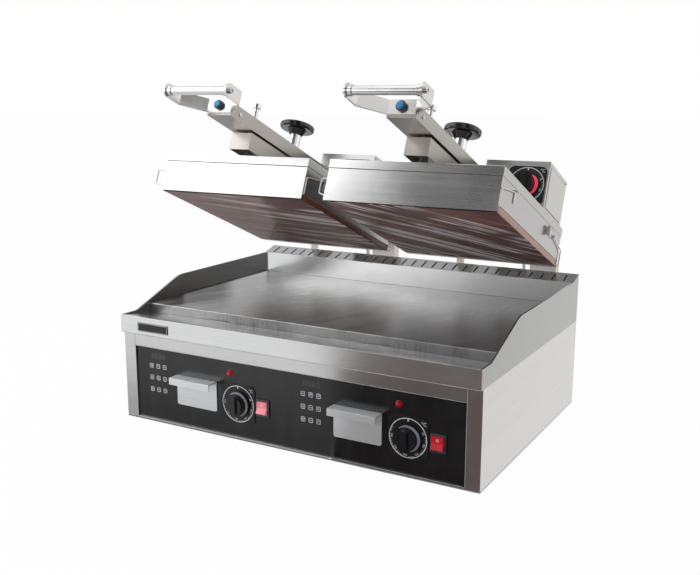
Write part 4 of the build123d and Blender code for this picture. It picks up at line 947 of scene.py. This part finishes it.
# Painted shade: the screws' crosses are near black.
slot_dark = moulded("slot_dark", (0.02, 0.02, 0.02, 1), 0.6)
BOX_DEPTH_MIDDLE, COVER_MARGIN = 294.5, 9.0
for side in SIDES:
    heads, crosses = [], []
    for ds in (-53.0, 53.0):
        for dh in (-40.5, 40.5):
            spot = on_lid(CENTRE[side] + 147.5, BOX_DEPTH_MIDDLE + ds, 117.0 + dh)
            heads.append(pan_head(spot, ACROSS, 2.9, 1.9))
            crosses += cross_slot(spot, ACROSS, BACK, 1.6, 1.9)
    build(f"cover_screws_{side}", heads, bolt_steel, f"lid_{side}")
    build(f"cover_crosses_{side}", crosses, slot_dark, f"lid_{side}", smooth=False)
print("cover screws ready")

# %% [markdown]
# ## Studio
#
# The photograph shows the object on pure white. A white floor runs to the horizon and a white
# sky meets it; both are told to look white to the camera and to reflections, while the light
# that they throw on the object stays plain. A broad soft lamp stands at the front left, as the
# bright lid fronts show. A few cards that only reflections see give polished steel something
# grey to mirror, or it would look like paper.

# %% White surroundings
def white_to_the_eye(tree, lit, white):
    """Mixes a lit shader with plain white: white where the camera, a reflection or a clear
    piece looks at it."""
    rays = tree.nodes.new("ShaderNodeLightPath")
    seen = Reading(tree, rays.outputs["Is Camera Ray"])
    seen = seen + Reading(tree, rays.outputs["Is Glossy Ray"])
    seen = seen + Reading(tree, rays.outputs["Is Transmission Ray"])
    share = seen.math("MINIMUM", seen, 1.0)
    mix = tree.nodes.new("ShaderNodeMixShader")
    tree.links.new(share.socket, mix.inputs[0])
    tree.links.new(lit, mix.inputs[1])
    tree.links.new(white, mix.inputs[2])
    return mix.outputs[0]


world = bpy.data.worlds.new("studio")
bpy.context.scene.world = world
world.use_nodes = True
tree = world.node_tree
plain = tree.nodes["Background"]
plain.inputs["Color"].default_value = (0.93, 0.95, 1.0, 1)
plain.inputs["Strength"].default_value = 0.55
white = tree.nodes.new("ShaderNodeBackground")
white.inputs["Color"].default_value = (1, 1, 1, 1)
white.inputs["Strength"].default_value = 1.0
both = white_to_the_eye(tree, plain.outputs[0], white.outputs[0])
tree.links.new(both, tree.nodes["World Output"].inputs[0])

floor_finish = bpy.data.materials.new("floor_white")
floor_finish.use_nodes = True
tree = floor_finish.node_tree
tree.nodes["Principled BSDF"].inputs["Base Color"].default_value = (0.86, 0.86, 0.86, 1)
tree.nodes["Principled BSDF"].inputs["Roughness"].default_value = 0.9
shine = tree.nodes.new("ShaderNodeEmission")
shine.inputs["Strength"].default_value = 1.0
part_white = tree.nodes.new("ShaderNodeMixShader")
part_white.inputs[0].default_value = 0.97
tree.links.new(tree.nodes["Principled BSDF"].outputs[0], part_white.inputs[1])
tree.links.new(shine.outputs[0], part_white.inputs[2])
both = white_to_the_eye(tree, tree.nodes["Principled BSDF"].outputs[0], part_white.outputs[0])
tree.links.new(both, tree.nodes["Material Output"].inputs[0])


def card(name, corners, material):
    """A flat four-cornered piece of the studio."""
    mesh = bpy.data.meshes.new(name)
    mesh.from_pydata(corners, [], [(0, 1, 2, 3)])
    mesh.materials.append(material)
    made = bpy.data.objects.new(name, mesh)
    bpy.context.scene.collection.objects.link(made)
    return made


REACH = 30.0
square = [(-REACH, -REACH, 0), (REACH, -REACH, 0), (REACH, REACH, 0), (-REACH, REACH, 0)]
card("floor", square, floor_finish)

# %% Lamps
def lamp(name, bearing, height, distance, size, power, aim=(0.0, 0.0, 0.25)):
    """A flat soft lamp on a circle round the object: bearing 0 is in front and 90 at the
    right, height is its angle above the floor."""
    data = bpy.data.lights.new(name, "AREA")
    data.shape, data.size, data.energy = "RECTANGLE", size[0], power
    data.size_y = size[1]
    made = bpy.data.objects.new(name, data)
    bpy.context.scene.collection.objects.link(made)
    a, e = math.radians(bearing), math.radians(height)
    ray = np.array([math.sin(a) * math.cos(e), -math.cos(a) * math.cos(e), math.sin(e)])
    place = np.eye(4)
    place[:3, :3] = look(np.array(aim) + ray * distance, np.array(aim), 0.0)
    place[:3, 3] = np.array(aim) + ray * distance
    made.matrix_world = Matrix(place.tolist())
    return made


lamp("key", -62.0, 30.0, 2.6, (2.2, 2.2), 26.0)
lamp("low", -35.5, 11.0, 2.8, (1.3, 0.8), 9.5)
lamp("top", 10.0, 80.0, 2.4, (2.0, 2.0), 12.0)
lamp("side", 115.0, 20.0, 2.6, (1.8, 1.8), 8.0)

# %% Cards that only polished metal sees
def reflected_card(name, corners, tone, fade=(-9.0, -8.0), axis="Y"):
    """A card that shows in reflections and nowhere else, and only from the side that it
    faces. Its colour changes smoothly from white to `tone` between the two places of `fade`
    along the axis."""
    material = bpy.data.materials.new(name)
    material.use_nodes = True
    tree = material.node_tree
    place = tree.nodes.new("ShaderNodeTexCoord")
    parts = tree.nodes.new("ShaderNodeSeparateXYZ")
    tree.links.new(place.outputs["Object"], parts.inputs[0])
    near = Reading(tree, parts.outputs[axis]).ramp(*fade)
    colour = tree.nodes.new("ShaderNodeMix")
    colour.data_type = "RGBA"
    plug(tree, colour.inputs[0], near)
    colour.inputs[6].default_value = (1, 1, 1, 1)
    colour.inputs[7].default_value = tone
    shine = tree.nodes.new("ShaderNodeEmission")
    tree.links.new(colour.outputs[2], shine.inputs["Color"])
    behind = tree.nodes.new("ShaderNodeNewGeometry")
    clear = tree.nodes.new("ShaderNodeBsdfTransparent")
    mix = tree.nodes.new("ShaderNodeMixShader")
    tree.links.new(behind.outputs["Backfacing"], mix.inputs[0])
    tree.links.new(shine.outputs[0], mix.inputs[1])
    tree.links.new(clear.outputs[0], mix.inputs[2])
    tree.links.new(mix.outputs[0], tree.nodes["Material Output"].inputs[0])
    made = card(name, corners, material)
    made.visible_camera = False
    made.visible_diffuse = False
    made.visible_shadow = False
    made.visible_transmission = False
    return made


reflected_card(
    "front_card",
    [(-1.66, -2.6, 1.35), (-1.66, -2.6, 5.0), (2.6, -2.6, 5.0), (2.6, -2.6, 1.35)],
    (0.132, 0.13, 0.129, 1),
)
reflected_card(
    "floor_card",
    [(0.09, -0.244, 0.001), (-1.33, -2.8, 0.001), (2.2, -2.8, 0.001), (1.2, -0.244, 0.001)],
    (0.155, 0.129, 0.122, 1),
)
reflected_card(
    "near_card",
    [(-1.2, -0.243, 0.0006), (-1.2, -0.62, 0.0006), (-0.13, -0.62, 0.0006), (0.085, -0.243, 0.0006)],
    (0.55, 0.55, 0.56, 1),
    (-0.6, -0.243),
)
# Painted reflection: this card stands at the left guard's inner face, so the rear wall mirrors a lit
# grey guard there.
reflected_card(
    "guard_card",
    [(-0.344, -0.08, 0.204), (-0.344, 0.211, 0.204), (-0.344, 0.211, 0.262), (-0.344, -0.08, 0.25)],
    (0.4, 0.4, 0.41, 1),
    (0.1, 0.04),
)
reflected_card(
    "back_card",
    [(-1.5, 2.0, 1.1), (1.6, 2.0, 1.1), (1.6, 2.0, 3.6), (-1.5, 2.0, 3.6)],
    (0.25, 0.25, 0.26, 1),
    (-1.5, 0.1),
    "X",
)
print("studio ready")
